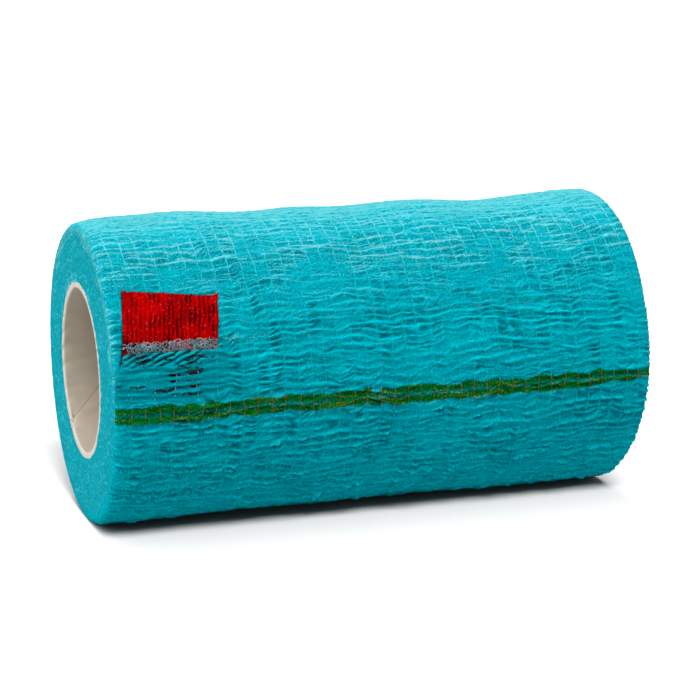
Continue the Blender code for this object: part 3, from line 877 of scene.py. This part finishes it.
def loose_share(x, angle):
    """0 where the loose end leaves the turn and 1 at its edge."""
    return (angle - TURN_END_ANGLE) / (last_angle(x) - TURN_END_ANGLE)


def loose_radius(x, angle):
    """The loose end's radius without its crinkle: a little over the turn below, and higher over the tab."""
    sizes = bpy.context.scene.bandage_cloth
    over_turn = LIFT_OFF_TURN + THIN_WEB * sizes.web_thickness
    over_tape = TAB_TOP + LIFT_OFF_TAPE + sizes.web_thickness
    height = mix(over_turn, over_tape, tab_side(x))
    return spiral_radius(angle) + swell(x, angle) - (TURN_STEP - height) * smooth(loose_share(x, angle))


def patch_share(x, angle):
    """1 on the part of the loose end that lies on the tab, bunched and pulled apart."""
    arc = arc_of(angle) - TURN_LENGTH
    return smooth((PATCH_SIDE - x) / SIDE_FADE) * smooth((arc + 0.6 * MM) / (1.6 * MM))


def slanting_folds(x, arc):
    """Folds that rise to the right from each thread, 0 in their furrows and 1 on top, and where they lie."""
    cell = np.interp(x, TAB_THREADS, np.arange(len(TAB_THREADS)))
    within = cell - np.floor(cell)
    # A fold leaves its thread steeply and then bends over to the right
    line = arc - SLANT_RISE * (within**0.6 - 0.6) + 0.10 * MM * WANDER.at(arc * 3, x * 2)
    line = line + 0.37 * SLANT_PITCH * np.floor(cell)
    fold = ((1 + np.cos(2 * math.pi * line / SLANT_PITCH)) / 2) ** 0.55
    fold = fold * (1 - 0.40 * np.exp(-(((within - 0.5) ** 2 - 0.25) / 0.04) ** 2)) * (1 + 0.12 * CELLS.at(arc, x))
    share = smooth((arc - SLANTED[0]) / (0.5 * MM)) * (1 - smooth((arc - SLANTED[1]) / (0.4 * MM)))
    return fold, share * smooth((-33.5 * MM - x) / (2.5 * MM))


def bunched_relief(x, arc):
    """Relief where the loose end lies bunched on the tab: slanting folds under the torn edge, softer swells below."""
    shifted_x = x + 0.20 * MM * WANDER.at(arc * 2, x)
    shifted_arc = arc + 0.14 * MM * thread_kink(x, arc) + 0.25 * MM * WANDER.at(arc * 2, x)
    swells = 0.0
    for middle, height_on_turn, half_length, half_width, height in PUFFS:
        across, up = (shifted_x - middle) / half_length, (shifted_arc - height_on_turn) / half_width
        swells = np.maximum(swells, height * np.exp(-0.8 * across * across - 1.1 * up * up))
    wrinkles = 0.40 * MM * (ridges(FOLD_RIDGES, shifted_arc, x, 0.7) - 0.4)
    wrinkles = wrinkles + 0.10 * MM * ridges(WRINKLES, shifted_arc, x, 1.0)
    fold, share = slanting_folds(x, arc)
    return mix(0.65 * swells + wrinkles, 0.60 * MM * fold, share) - 0.28 * MM


def loose_relief(x, angle):
    """The loose end's crinkle, which gives way to the bunched folds over the tab."""
    arc = arc_of(angle)
    bunched = bunched_relief(x, arc - TURN_LENGTH)
    return mix(crinkle(x, arc), bunched, patch_share(x, angle)) + 0.03 * MM * FELT.at(arc, x)


def skin(radius_at, relief_at, x, tilt, angle, shoulder=SHOULDER_RADIUS):
    """Points and relief of a turn whose edges are rounded down to either end face."""
    lean = tilt * math.pi / 2
    relief = relief_at(x, angle) * mix(1.0, 0.06, tilt * tilt)
    radius = radius_at(x, angle) - shoulder * (1 - np.cos(lean)) + relief * np.cos(lean)
    return on_roll(x + relief * np.sin(lean), angle, radius), relief


def outer_skin(x, tilt, angle):
    """Points and relief of the outermost turn."""
    return skin(outer_radius, outer_relief, x, tilt, angle)


def drawn_in(x, angle):
    """The x of the loose end's points, whose side runs in towards its cut edge."""
    return x + LOOSE_END_SLANT * smooth((angle - 366) / 12) * smooth((-38 * MM - x) / (12 * MM))


def loose_skin(x, tilt, angle):
    """Points and relief of the loose end's upper side."""
    shoulder = mix(SHOULDER_RADIUS, 0.45 * MM, patch_share(x, angle))
    return skin(loose_radius, loose_relief, drawn_in(x, angle), tilt, angle, shoulder)


def skin_normals(surface, x, tilt, angle):
    """The normals that a skin has at its points, so that neighbouring pieces shade as one."""
    turn = np.degrees(NORMAL_REACH / ROLL_RADIUS)
    straight = HALF_WIDTH - SHOULDER_RADIUS
    tilt_step = NORMAL_REACH / (SHOULDER_RADIUS * math.pi / 2)

    def moved(sign):
        leant = tilt + sign * tilt_step
        rounded = np.sign(tilt) * (straight + SHOULDER_RADIUS * np.abs(np.sin(leant * math.pi / 2)))
        level = np.abs(tilt) < 1e-6
        return surface(np.where(level, x + sign * NORMAL_REACH, rounded), np.where(level, 0.0, leant), angle)[0]

    up = surface(x, tilt, angle + turn)[0] - surface(x, tilt, angle - turn)[0]
    return unit(np.cross(moved(1) - moved(-1), up))


def cloth_stretch(name, first, last, arc_step, column_step):
    """One stretch of the outermost turn between two turn angles."""
    x, tilt = cloth_columns(column_step)
    rows = int(math.radians(last - first) * ROLL_RADIUS / arc_step) + 1
    x, tilt, angle = np.broadcast_arrays(x, tilt, np.linspace(first, last, rows)[:, None])
    points, relief = outer_skin(x, tilt, angle)
    arc = arc_of(angle) - TURN_LENGTH
    piece = mesh_piece(
        name,
        points.reshape(-1, 3),
        grid_faces(*x.shape),
        shared_material(cloth_material),
        # Of these values, crest darkens the furrows with painted shade, line gives a painted highlight along the ridge
        # tops, and the fibre share gives loose fibres and painted top light
        {
            "crest": crest_share(relief, angle) + 0.22 * tilt * tilt,
            "line": mix(crest_line(x, arc_of(angle)), 0.3 + 0.3 * FELT.at(arc, x), tilt * tilt),
            "ink": ink_share(x, arc) * (np.abs(tilt) < 0.9),
            "fuzz_and_top_light": fuzz_and_top_light_share(angle, tilt),
            "web": web_place(x, arc),
        },
        skin_normals(outer_skin, x, tilt, angle).reshape(-1, 3),
    )
    return piece


class BANDAGE_OT_wound_cloth(bpy.types.Operator):
    """Add the outermost turn of the cloth, in four stretches that meet without a step"""

    bl_idname = "bandage.wound_cloth"
    bl_label = "Wound Cloth"

    def execute(self, context):
        _, upper, _, _ = (cloth_stretch(*row) for row in STRETCHES)
        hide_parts("bandage_roll")
        return {"FINISHED"}


# ------------------------------------------------------------------ the loose end


def gap_share(x, arc):
    """Above 0 where the stretched loose end is pulled thin, and near 1 in the middle of such a place."""
    x = x + 0.12 * MM * KINKS.at(arc, x)
    arc = arc + 0.16 * MM * KINKS.at(arc + 9 * MM, x) + 0.08 * MM * WEAR.at(arc, x)
    inside = -1.0
    for middle, height_on_turn, half_length, half_width in GAPS:
        across, up = (x - middle) / (1.25 * half_length), (arc - height_on_turn) / (1.3 * half_width)
        inside = np.maximum(inside, 1 - across * across - up * up)
    return inside + 0.25 * FELT.at(arc * 0.7, x * 0.7)


def shade_through_web_share(x, arc):
    """1 where the shade below the loose end is painted through it: in its gaps and in the furrows of the slanting
    folds.
    """
    fold, share = slanting_folds(x, arc)
    furrow = smooth((0.80 - fold) / 0.30) * share * smooth(0.90 + 0.9 * WEAR.at(arc * 1.6, x * 1.2))
    return 0.97 * np.maximum(smooth((gap_share(x, arc) + 0.15) / 0.6), 0.9 * furrow)


class BANDAGE_OT_loose_end(bpy.types.Operator):
    """Add the loose end, which runs on from the outermost turn and lies over the lower half of the tab"""

    bl_idname = "bandage.loose_end"
    bl_label = "Loose End"

    def execute(self, context):
        sizes = context.scene.bandage_cloth
        x, tilt = cloth_columns(COARSE_STEP)
        finer = np.arange(-HALF_WIDTH + SHOULDER_RADIUS, TAB_SIDE, FINE_STEP)
        edge = np.count_nonzero(tilt < 0)
        beyond = x > finer[-1] + 0.1 * MM
        x = np.concatenate([x[:edge], finer, x[beyond]])
        tilt = np.concatenate([tilt[:edge], np.zeros(len(finer)), tilt[beyond]])
        share = np.linspace(0, 1, LOOSE_ROWS)[:, None]
        angle = TURN_END_ANGLE + share * (last_angle(x) - TURN_END_ANGLE)
        x, tilt, angle = np.broadcast_arrays(x, tilt, angle)
        top, relief = loose_skin(x, tilt, angle)
        normals = skin_normals(loose_skin, x, tilt, angle)
        under = top - normals * sizes.web_thickness * mix(THIN_WEB, 1.0, patch_share(x, angle))[..., None]
        arc = arc_of(angle) - TURN_LENGTH
        x = drawn_in(x, angle)
        patch = patch_share(x, angle)
        fine_crease = 0.25 * ridges(WRINKLES, arc + 0.16 * MM * KINKS.at(arc + 5 * MM, x), x, 5.0) * (x < 0)
        closed = gap_share(x, arc) < 1.0
        keep = closed[:-1, :-1] & closed[1:, 1:]
        points, faces, used = thin_sheet(top, under, keep)
        # Of these values, crest darkens the furrows with painted shade, line gives a painted highlight, thin paints
        # the shade below through the web, and the fibre share gives loose fibres and painted top light
        values = {
            "crest": mix(crest_share(relief, angle), -0.05 + relief / (0.50 * MM), patch).ravel(),
            "line": mix(crest_line(x, arc_of(angle)), fine_crease, patch).ravel(),
            "fuzz_and_top_light": (fuzz_and_top_light_share(angle, tilt) * (1 - patch)).ravel(),
            "thin": shade_through_web_share(x, arc).ravel(),
            "ink": (ink_share(x, arc) * (np.abs(tilt) < 0.9)).ravel(),
            "web": web_place(x, arc),
        }
        values = {label: on_both(each, used) for label, each in values.items()}
        normals = np.concatenate([normals.reshape(-1, 3), -normals.reshape(-1, 3)])[used]
        piece = mesh_piece("loose_end", points, faces, shared_material(cloth_material), values, normals)
        return {"FINISHED"}


def loose_form(x, arc):
    """The radius of the wound form below the loose end's torn edge."""
    angle = angle_of(arc)
    return spiral_radius(angle) + swell(x, angle)


def torn_edge_arc(x):
    """How high the torn net reaches over the tab, in one scallop between each two threads."""
    cell = np.interp(x, TAB_THREADS, np.arange(len(TAB_THREADS))) * 2
    scallop = np.abs(np.sin(math.pi * cell)) ** 0.6
    return 9.70 * MM + 0.50 * MM * scallop + 0.10 * MM * WEAR.at(x * 0 + 3 * MM, x) + 0.02 * (x + 40 * MM)


def curled(x, arc, length, heading, curl, steps):
    """Lines that start at a place of the unrolled cloth and curl as they go."""
    turned = heading + curl * np.linspace(0, 1, steps)
    step = length / (steps - 1)
    return x + np.cumsum(step * np.cos(turned), axis=1), arc + np.cumsum(step * np.sin(turned), axis=1)


def outward(angle):
    """The directions straight out of the roll at those turn angles."""
    turn = np.radians(angle)
    return np.stack([turn * 0, -np.cos(turn), np.sin(turn)], axis=-1)


class BANDAGE_OT_frayed_edge(bpy.types.Operator):
    """Add the fine torn net along the cut edge, tall over the tab and only a broken line beyond it"""

    bl_idname = "bandage.frayed_edge"
    bl_label = "Frayed Edge"

    def execute(self, context):
        x = np.arange(*NET_SPAN, 0.10 * MM)
        share = np.linspace(0, 1, 24)[:, None]
        x, arc = np.broadcast_arrays(x, NET_LOW + share * (torn_edge_arc(x) - NET_LOW))
        lift = TAB_TOP + NET_LIFT + 0.05 * MM * WEAR.at(arc * 2, x * 2) + 0.25 * MM * smooth(0.4 - share)
        radius = loose_form(x, arc) + lift
        net = FELT.at(arc * 1.3, x * 1.3) + 0.6 * STREAKS.at(arc * 1.7, x * 0.5)
        closed = np.abs(net) < 0.34 - 0.10 * share
        angle = angle_of(arc)
        above, below = on_roll(x, angle, radius), on_roll(x, angle, radius - NET_THICKNESS)
        points, faces, _ = thin_sheet(above, below, closed[:-1, :-1] & closed[1:, 1:])
        piece = mesh_piece("frayed_edge", points, faces, shared_material(frayed_material))

        draw = np.random.default_rng(41)
        over_tab = draw.uniform(-47.7 * MM, -31.6 * MM, STRANDS_OVER_TAB)
        beyond = -30.5 * MM + 12 * MM * draw.exponential(1.0, STRANDS_BEYOND)
        x = np.concatenate([over_tab, beyond])[:, None]
        on_tab = x < STRANDS_CHANGE
        edge_arc = arc_of(CUT_ANGLE)
        drop = draw.uniform(0, 1, x.shape)
        start = np.where(on_tab, torn_edge_arc(x) - 2.0 * MM * drop, edge_arc - 0.30 * MM * drop)
        heading = np.where(on_tab, draw.uniform(0, 2 * math.pi, x.shape), draw.uniform(-0.35, 0.35, x.shape))
        curl = draw.uniform(-5.0, 5.0, x.shape) * np.where(on_tab, 1.0, 0.25)
        x, arc = curled(x, start, draw.uniform(0.7, 1.8, x.shape) * MM, heading, curl, 9)
        arc = np.where(on_tab, np.minimum(arc, torn_edge_arc(x) + 0.05 * MM), arc)
        x = np.clip(x, NET_SPAN[0] - 0.2 * MM, HALF_WIDTH)
        lift = np.where(on_tab, TAB_TOP + STRAND_LIFT, 0.26 * MM) + draw.uniform(0, 0.14, start.shape) * MM
        radius = np.where(on_tab, draw.uniform(0.024, 0.040, start.shape), 0.020) * MM
        angle = angle_of(arc)
        paths = on_roll(x, angle, loose_form(x, arc) + lift)
        points, faces = tubes(paths, outward(angle), radius, sides=3)
        beyond_tab = np.repeat(np.where(on_tab, 0.0, 1.0) + 0 * x, 3)
        piece = mesh_piece("frayed_strands", points, faces, shared_material(lint_material), {"fuzz_and_top_light": beyond_tab})
        return {"FINISHED"}


class BANDAGE_OT_elastic_threads(bpy.types.Operator):
    """Add the elastic threads, which run round the roll and bridge the furrows of the crinkle"""

    bl_idname = "bandage.elastic_threads"
    bl_label = "Elastic Threads"

    def execute(self, context):
        sizes = context.scene.bandage_cloth
        half = int((HALF_WIDTH - 1.5 * MM) / sizes.thread_pitch)
        middle = np.arange(-half, half + 1)[:, None] * sizes.thread_pitch
        last = np.where(middle < TAB_SIDE, THREAD_END_AT_TAB, CUT_ANGLE + 360)
        angle = THREAD_START + np.linspace(0, 1, 260) * (last - THREAD_START)
        arc = arc_of(angle)
        x = middle + 0.10 * MM * WANDER.at(arc * 3 + middle * 7, middle) + 0.07 * MM * WEAR.at(arc, middle)
        loose = angle > TURN_END_ANGLE
        radius = np.where(loose, loose_radius(x, angle), outer_radius(x, angle))
        # The threads take the same loose fibres and painted top light as the web
        fuzz_and_top_light, ink = fuzz_and_top_light_share(angle + 0 * x), ink_share(x, arc - TURN_LENGTH)
        shown = bell(angle - 56, 13)
        sunk = smooth((angle - 70) / 12) * (angle < 180)
        low = smooth((angle - 285) / 15)
        raised = 0.05 * STRENGTH.at(arc, x) - 0.04 + 0.05 * shown - 0.06 * sunk + 0.06 * low + 0.12 * ink
        radius = radius + MM * raised
        below = np.maximum(-np.sin(np.radians(angle)), 1e-3)
        radius = np.minimum(radius, (AXIS_HEIGHT - 0.1 * MM) / below)
        thickness = sizes.thread_diameter / 2 * (1 + 0.35 * shown)
        points, faces = tubes(on_roll(x, angle, radius), outward(angle), thickness)
        self.add("elastic_threads", points, faces, ink, fuzz_and_top_light)

        middle = np.array(TAB_THREADS[1:-1])[:, None]
        angle = 360.0 + np.linspace(-2.0, 17.2, 60) + middle * 0
        arc = arc_of(angle)
        x = middle + 0.12 * MM * WEAR.at(arc, middle)
        height = -0.14 * MM + 0.8 * np.maximum(bunched_relief(x, arc - TURN_LENGTH), -0.1 * MM)
        points, faces = tubes(on_roll(x, angle, loose_radius(x, angle) + height), outward(angle), TAB_THREAD_RADIUS)
        self.add("tab_threads", points, faces, ink_share(x, arc - TURN_LENGTH), 0.5 + 0 * x)
        return {"FINISHED"}

    def add(self, name, points, faces, ink, fuzz_and_top_light):
        """Add the threads whose tubes have four sides, with how much ink they hold and how much loose fibre and
        painted top light is on them.
        """
        values = {"ink": 1.2 * ink, "fuzz_and_top_light": 2.0 * fuzz_and_top_light}
        values = {label: np.repeat(np.minimum(each.ravel(), 1.0), 4) for label, each in values.items()}
        mesh_piece(name, points, faces, shared_material(thread_material), values)


# ------------------------------------------------------------------ the end faces


class BANDAGE_OT_turn_edges(bpy.types.Operator):
    """Add the cut edges of the inner turns, seen as a felted spiral at either end"""

    bl_idname = "bandage.turn_edges"
    bl_label = "Turn Edges"

    def execute(self, context):
        for side, name in ((-1, "turn_edges_left"), (1, "turn_edges_right")):
            angle = np.linspace(0, 360, 481)[:-1]
            outer = spiral_radius(angle) + swell(side * HALF_WIDTH, angle) - SHOULDER_RADIUS + 0.25 * MM
            share = np.linspace(0, 1, 54)[:, None]
            radius = mix(TUBE_RADIUS - 0.2 * MM, outer, share)
            turn = (radius - spiral_radius(angle)) / TURN_STEP
            within = turn - np.floor(turn)
            arc = arc_of(angle)
            flat = on_roll(0, angle, radius)
            y, z = flat[..., 1], flat[..., 2]
            edge = np.abs((within + 0.14 * KINKS.at(arc * 0.6, radius * 2) + 0.5) % 1.0 - 0.5)
            felt = 0.035 * MM * FELT.at(z, y) + 0.012 * MM * WEAR.at(z * 1.6, y * 1.6)
            crevice = 0.04 * MM * bell(edge, 0.10) * smooth((0.97 - share) / 0.05)
            x = side * (HALF_WIDTH - 0.03 * MM + felt * smooth((1 - share) / 0.03) - crevice)
            # Pale arcs along the turns' cut edges, kept to the upper part of the face: painted top light
            pale = bell(edge - 0.14, 0.07) * smooth(WEAR.at(arc * 0.35, radius) + 0.2)
            pale = pale * np.clip(smooth((share - 0.68) * 5) + smooth((0.22 - share) * 5), 0.0, 1)
            pale = pale * smooth((95 - angle_apart(angle, 75)) / 40)
            rim = smooth((share - 0.80) / 0.20)
            # Painted shade darkens the crevices between the turns, and the pale arcs add painted top light
            crest = 0.56 + (felt / (0.5 * MM) - crevice / (0.4 * MM)) * (1 - rim) + 0.4 * pale
            fuzz_and_top_light = mix(0.04, fuzz_and_top_light_share(angle, 1.0), rim) + 0.5 * pale
            line = 0.08 + 0.30 * FELT.at(z * 1.5, y * 0.6) + 0.70 * pale
            piece = mesh_piece(
                name,
                on_roll(x, angle, radius).reshape(-1, 3),
                grid_faces(*x.shape, around=True)[:, ::side],
                shared_material(cloth_material),
                {"crest": crest, "line": line, "fuzz_and_top_light": fuzz_and_top_light, "web": web_place(0.8 * y, 1.6 * z)},
            )
        return {"FINISHED"}


# ------------------------------------------------------------------ the tab


class BANDAGE_OT_pull_tab(bpy.types.Operator):
    """Add the ribbed red tape that marks the end, its lower half under the loose end"""

    bl_idname = "bandage.pull_tab"
    bl_label = "Pull Tab"

    def execute(self, context):
        sizes = context.scene.bandage_tab
        pitch = TAB_WIDTH / sizes.ribs
        across = np.linspace(-TAB_WIDTH / 2, TAB_WIDTH / 2, sizes.ribs * 9 + 1)
        rib = across / pitch + 0.5
        share = np.linspace(-1, 1, 76)[:, None]
        ragged = 0.10 * MM * WEAR.at(across * 4, across * 2) + 0.05 * MM * np.cos(2 * math.pi * rib)
        flick = 0.5 * MM * smooth((across / TAB_WIDTH - 0.43) / 0.07)
        along = share * TAB_LENGTH / 2 + (ragged + flick) * smooth((share - 0.85) / 0.15)
        waver = 0.07 * WEAR.at(along * 0.6, across * 1.2) + 0.08 * KINKS.at(along * 0.6, across * 0.3)
        groove = 0.5 - 0.5 * np.cos(2 * math.pi * (rib + waver))
        broken = np.clip(0.55 + 0.45 * STREAKS.at(along * 1.4, across * 0.9), 0.05, 1.0)
        height = sizes.rib_depth * (groove**0.6 - 1) * (0.3 + 0.7 * broken)
        # Painted shade: the grooves are darker, and a painted shadow darkens the tape where the loose end lies over it
        loose_end_shadow = smooth((-0.6 * MM - along - 0.12 * across) / (1.0 * MM))
        mottle_and_shadow = 0.18 * STREAKS.at(along * 0.8 + 30 * MM, across * 0.5) + 0.14 * WEAR.at(along, across) - 0.9 * loose_end_shadow
        crest = 0.78 - 0.84 * (1 - groove) ** 1.2 * broken + mottle_and_shadow
        height = height + 0.035 * MM * FELT.at(along, across)
        margin = np.minimum((1 - np.abs(share)) * TAB_LENGTH / 2, TAB_WIDTH / 2 - np.abs(across))
        height = height - 0.28 * MM * (1 - smooth(margin / (0.4 * MM)))
        uneven = 0.010 * WEAR.at(along * 0.7 + 30 * MM, across * 0) * smooth(np.abs(across) / TAB_WIDTH * 2)
        across = across * (1 + uneven)
        x, arc = tab_point(across, along)
        angle = angle_of(arc)
        form = spiral_radius(angle) + swell(x, angle)
        below = 1.0 * MM - 0.45 * MM * (1 - smooth(margin / (0.6 * MM)))
        top, under = on_roll(x, angle, form + TAB_TOP + height), on_roll(x, angle, form + TAB_TOP - below)
        points, faces, used = thin_sheet(top, under)
        values = {"crest": on_both(crest.ravel(), used), "web": on_both(web_place(across, along), used)}
        piece = mesh_piece("pull_tab_tape", points, faces, shared_material(tape_material), values)
        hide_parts("pull_tab")
        return {"FINISHED"}


# ------------------------------------------------------------------ the tube


class BANDAGE_OT_paperboard_tube(bpy.types.Operator):
    """Add the paperboard tube with its helical seam, a small tear at the rim and nicks along it"""

    bl_idname = "bandage.paperboard_tube"
    bl_label = "Paperboard Tube"

    def execute(self, context):
        sizes = context.scene.bandage_tube
        inner, rounding = TUBE_RADIUS - sizes.wall, 0.25 * MM
        # The mesh columns follow the seam, a helix from the rim at SEAM_START, and stand closer together beside it
        beside = np.array([0.3, 0.6, 0.9, 1.3, 1.8, 2.5, 3.3])
        column = np.concatenate([-beside[::-1], [0.0], beside, np.linspace(4.5, 355.5, 220)])
        near = np.arange(0.0, 12 * MM, 0.5 * MM)
        inside = np.concatenate([near, np.linspace(12 * MM, 88 * MM, 50), 2 * HALF_WIDTH - near[::-1]]) - HALF_WIDTH
        inside = inside[(inside > -HALF_WIDTH + rounding) & (inside < HALF_WIDTH - rounding)]
        bend = np.linspace(0, math.pi / 2, 4)
        corner_x, corner_r = rounding * (1 - np.sin(bend)), rounding * (1 - np.cos(bend))
        rim_r = np.linspace(inner + rounding, TUBE_RADIUS - rounding, 6)[1:-1]
        half_x = np.concatenate([HALF_WIDTH - corner_x, np.full(4, HALF_WIDTH), (HALF_WIDTH - corner_x)[::-1]])
        half_r = np.concatenate([inner + corner_r, rim_r, (TUBE_RADIUS - corner_r)[::-1]])
        outside = np.linspace(HALF_WIDTH - 1 * MM, -HALF_WIDTH + 1 * MM, 12)
        x = np.concatenate([inside, half_x, outside, -half_x[::-1]])
        radius = np.concatenate([np.full(len(inside), inner), half_r, np.full(12, TUBE_RADIUS), half_r[::-1]])
        x, radius, column = np.broadcast_arrays(x[:, None], radius[:, None], column)
        angle = column + SEAM_START - 360 * (x + HALF_WIDTH) / sizes.seam_lead
        # One edge of the ply stands a little proud
        off_seam = ((column + 180) % 360 - 180) / 360 * 2 * math.pi * inner
        bore = radius < inner + 0.3 * MM
        ply = 0.10 * MM * smooth(off_seam / (0.25 * MM) + 0.5) * (1 - smooth(off_seam / (9 * MM)))
        seam = bell(off_seam, 0.09 * MM) * bore
        from_rim = x + HALF_WIDTH
        tear = np.clip(1 - from_rim / (1.9 * MM), 0, 1) * bell(off_seam, 0.7 * MM)
        nick = sum(depth * bell(angle_apart(angle, place), 1.6) for place, depth in NICKS)
        nick = nick * np.clip(1 - from_rim / (1.4 * MM), 0, 1)
        pulp = 0.03 * MM * WEAR.at(arc_of(angle), x)
        radius = radius + np.where(bore, -ply + 0.35 * MM * tear + nick * MM + pulp, 0)
        bevelled = 1 - smooth((radius - inner) / (0.7 * MM))
        x = x + np.where(from_rim < 0.3 * MM, (0.5 * tear + 0.3 * nick) * MM * bevelled + np.abs(pulp), 0)
        rim = smooth((np.abs(x) - HALF_WIDTH + 0.45 * MM) / (0.3 * MM)) + 0.5 * tear
        points = on_roll(x, angle, radius)
        # The last row of points joins the first
        faces = grid_faces(len(x) + 1, x.shape[1], around=True) % x.size
        values = {"rim": np.clip(rim, 0, 1), "seam": np.clip(seam, 0, 1)}
        piece = mesh_piece("paperboard_tube", points.reshape(-1, 3), faces, shared_material(board_material), values)
        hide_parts("core_tube")
        return {"FINISHED"}


# ------------------------------------------------------------------ loose fibres


class BANDAGE_OT_stray_fibres(bpy.types.Operator):
    """Add short fibres that stand out of the web, most of them on its upper side"""

    bl_idname = "bandage.stray_fibres"
    bl_label = "Stray Fibres"

    def execute(self, context):
        sizes = context.scene.bandage_cloth
        draw = np.random.default_rng(31)
        number, steps = sizes.fibres, 5
        x = draw.uniform(-HALF_WIDTH + 1.2 * MM, HALF_WIDTH - 1.2 * MM, (number, 1))
        angle = np.clip(85 + 38 * draw.standard_normal((number, 1)), CUT_ANGLE + 6, 250)
        length = draw.uniform(0.5, 1.8, (number, 1)) * MM
        heading = 0.7 * draw.standard_normal((number, 1))
        curl = draw.uniform(-1.6, 1.6, (number, 1))
        x, arc = curled(x, arc_of(angle), length, heading, curl, steps)
        angle = angle_of(arc)
        x = np.clip(x, -HALF_WIDTH + 1.1 * MM, HALF_WIDTH - 1.1 * MM)
        share = np.linspace(0.1, 0.95, steps)
        rise = draw.uniform(0.02, 0.16, (number, 1)) * MM * np.sin(math.pi * share)
        radius = outer_radius(x, angle) + np.maximum(outer_relief(x, angle), 0) + rise
        points, faces = tubes(on_roll(x, angle, radius), outward(angle), FIBRE_RADIUS, sides=3)
        # The fibres' share of loose fibres and painted top light
        fuzz_and_top_light = np.repeat(fuzz_and_top_light_share(angle).ravel(), 3)
        piece = mesh_piece("stray_fibres", points, faces, shared_material(fibre_material), {"fuzz_and_top_light": fuzz_and_top_light})
        return {"FINISHED"}


# ------------------------------------------------------------------ stage


def sun(scene, name, strength, spread, comes_from):
    """A soft far light of that strength and spread in degrees, from that direction."""
    light = bpy.data.lights.new(name, "SUN")
    light.energy, light.angle = strength, math.radians(spread)
    lamp = bpy.data.objects.new(name, light)
    lamp.rotation_euler = Vector(comes_from).to_track_quat("Z", "Y").to_euler()
    scene.collection.objects.link(lamp)
    return lamp


class BANDAGE_OT_stage(bpy.types.Operator):
    """Add the floor, the lights and the camera"""

    bl_idname = "bandage.stage"
    bl_label = "Stage"

    def execute(self, context):
        scene, look = context.scene, context.scene.bandage_stage
        scene.view_settings.view_transform = "Standard"

        mesh = bpy.data.meshes.new("floor")
        corners = [(x * FLOOR_HALF, y * FLOOR_HALF, 0) for x, y in ((-1, -1), (1, -1), (1, 1), (-1, 1))]
        mesh.from_pydata(corners, [], [(0, 1, 2, 3)])
        floor = bpy.data.objects.new("floor", mesh)
        scene.collection.objects.link(floor)
        material, _, _ = new_material(
            "white_paper_sweep", Roughness=0.9, Specular_IOR_Level=0.0, Base_Color=linear(look.floor_colour)
        )
        mesh.materials.append(material)

        world = bpy.data.worlds.new("soft_room")
        world.use_nodes = True
        tree = world.node_tree
        background = tree.nodes["Background"]
        background.inputs["Color"].default_value = (1, 1, 1, 1)
        seen = add_node(tree, "LightPath", output="Is Camera Ray")
        strength = add_node(tree, "MapRange", {"Value": seen, "To Min": look.sky, "To Max": 1.0})
        tree.links.new(strength, background.inputs["Strength"])
        scene.world = world

        sun(scene, "soft_overhead", look.overhead, 80, look.light_from)
        # Low lamps before and behind light the floor alone, and leave a narrow dark shadow where the roll rests
        washed = bpy.data.collections.new("washed_floor")
        washed.objects.link(floor)
        for side, share in ((-1, 1.0), (1, 0.35)):
            lamp = sun(scene, "floor_wash", share * look.floor_wash, 20, (-0.05, side * 0.68, 0.73))
            lamp.light_linking.receiver_collection = washed

        azimuth, elevation = math.radians(look.azimuth), math.radians(look.elevation)
        back = Vector(
            (math.sin(azimuth) * math.cos(elevation), -math.cos(azimuth) * math.cos(elevation), math.sin(elevation))
        )
        camera = bpy.data.objects.new("camera", bpy.data.cameras.new("camera"))
        camera.data.lens = look.lens
        camera.location = Vector(look.target) + look.distance * back
        camera.rotation_euler = (-back).to_track_quat("-Z", "Y").to_euler()
        scene.collection.objects.link(camera)
        scene.camera = camera
        return {"FINISHED"}


class BANDAGE_PT_panel(bpy.types.Panel):
    """One button for each operator"""

    bl_label = "Bandage Roll"
    bl_idname = "BANDAGE_PT_panel"
    bl_space_type = "VIEW_3D"
    bl_region_type = "UI"
    bl_category = "Bandage"

    def draw(self, context):
        for operator in OPERATORS:
            self.layout.operator(operator.bl_idname)


GROUPS = {
    "bandage_cloth": BandageCloth,
    "bandage_tab": BandageTab,
    "bandage_tube": BandageTube,
    "bandage_stage": BandageStage,
}
OPERATORS = (
    BANDAGE_OT_stage,
    BANDAGE_OT_wound_cloth,
    BANDAGE_OT_pull_tab,
    BANDAGE_OT_loose_end,
    BANDAGE_OT_frayed_edge,
    BANDAGE_OT_elastic_threads,
    BANDAGE_OT_turn_edges,
    BANDAGE_OT_paperboard_tube,
    BANDAGE_OT_stray_fibres,
)


def register():
    for made in (*GROUPS.values(), *OPERATORS, BANDAGE_PT_panel):
        bpy.utils.register_class(made)
    for name, group in GROUPS.items():
        setattr(bpy.types.Scene, name, PointerProperty(type=group))


def unregister():
    for name in GROUPS:
        delattr(bpy.types.Scene, name)
    for made in (BANDAGE_PT_panel, *reversed(OPERATORS), *GROUPS.values()):
        bpy.utils.unregister_class(made)


def main():
    """Register the classes and build the pieces."""
    register()
    bpy.ops.bandage.stage()
    bpy.ops.bandage.wound_cloth()
    bpy.ops.bandage.pull_tab()
    bpy.ops.bandage.loose_end()
    bpy.ops.bandage.frayed_edge()
    bpy.ops.bandage.elastic_threads()
    bpy.ops.bandage.turn_edges()
    bpy.ops.bandage.paperboard_tube()
    bpy.ops.bandage.stray_fibres()


if __name__ == "__main__":
    main()
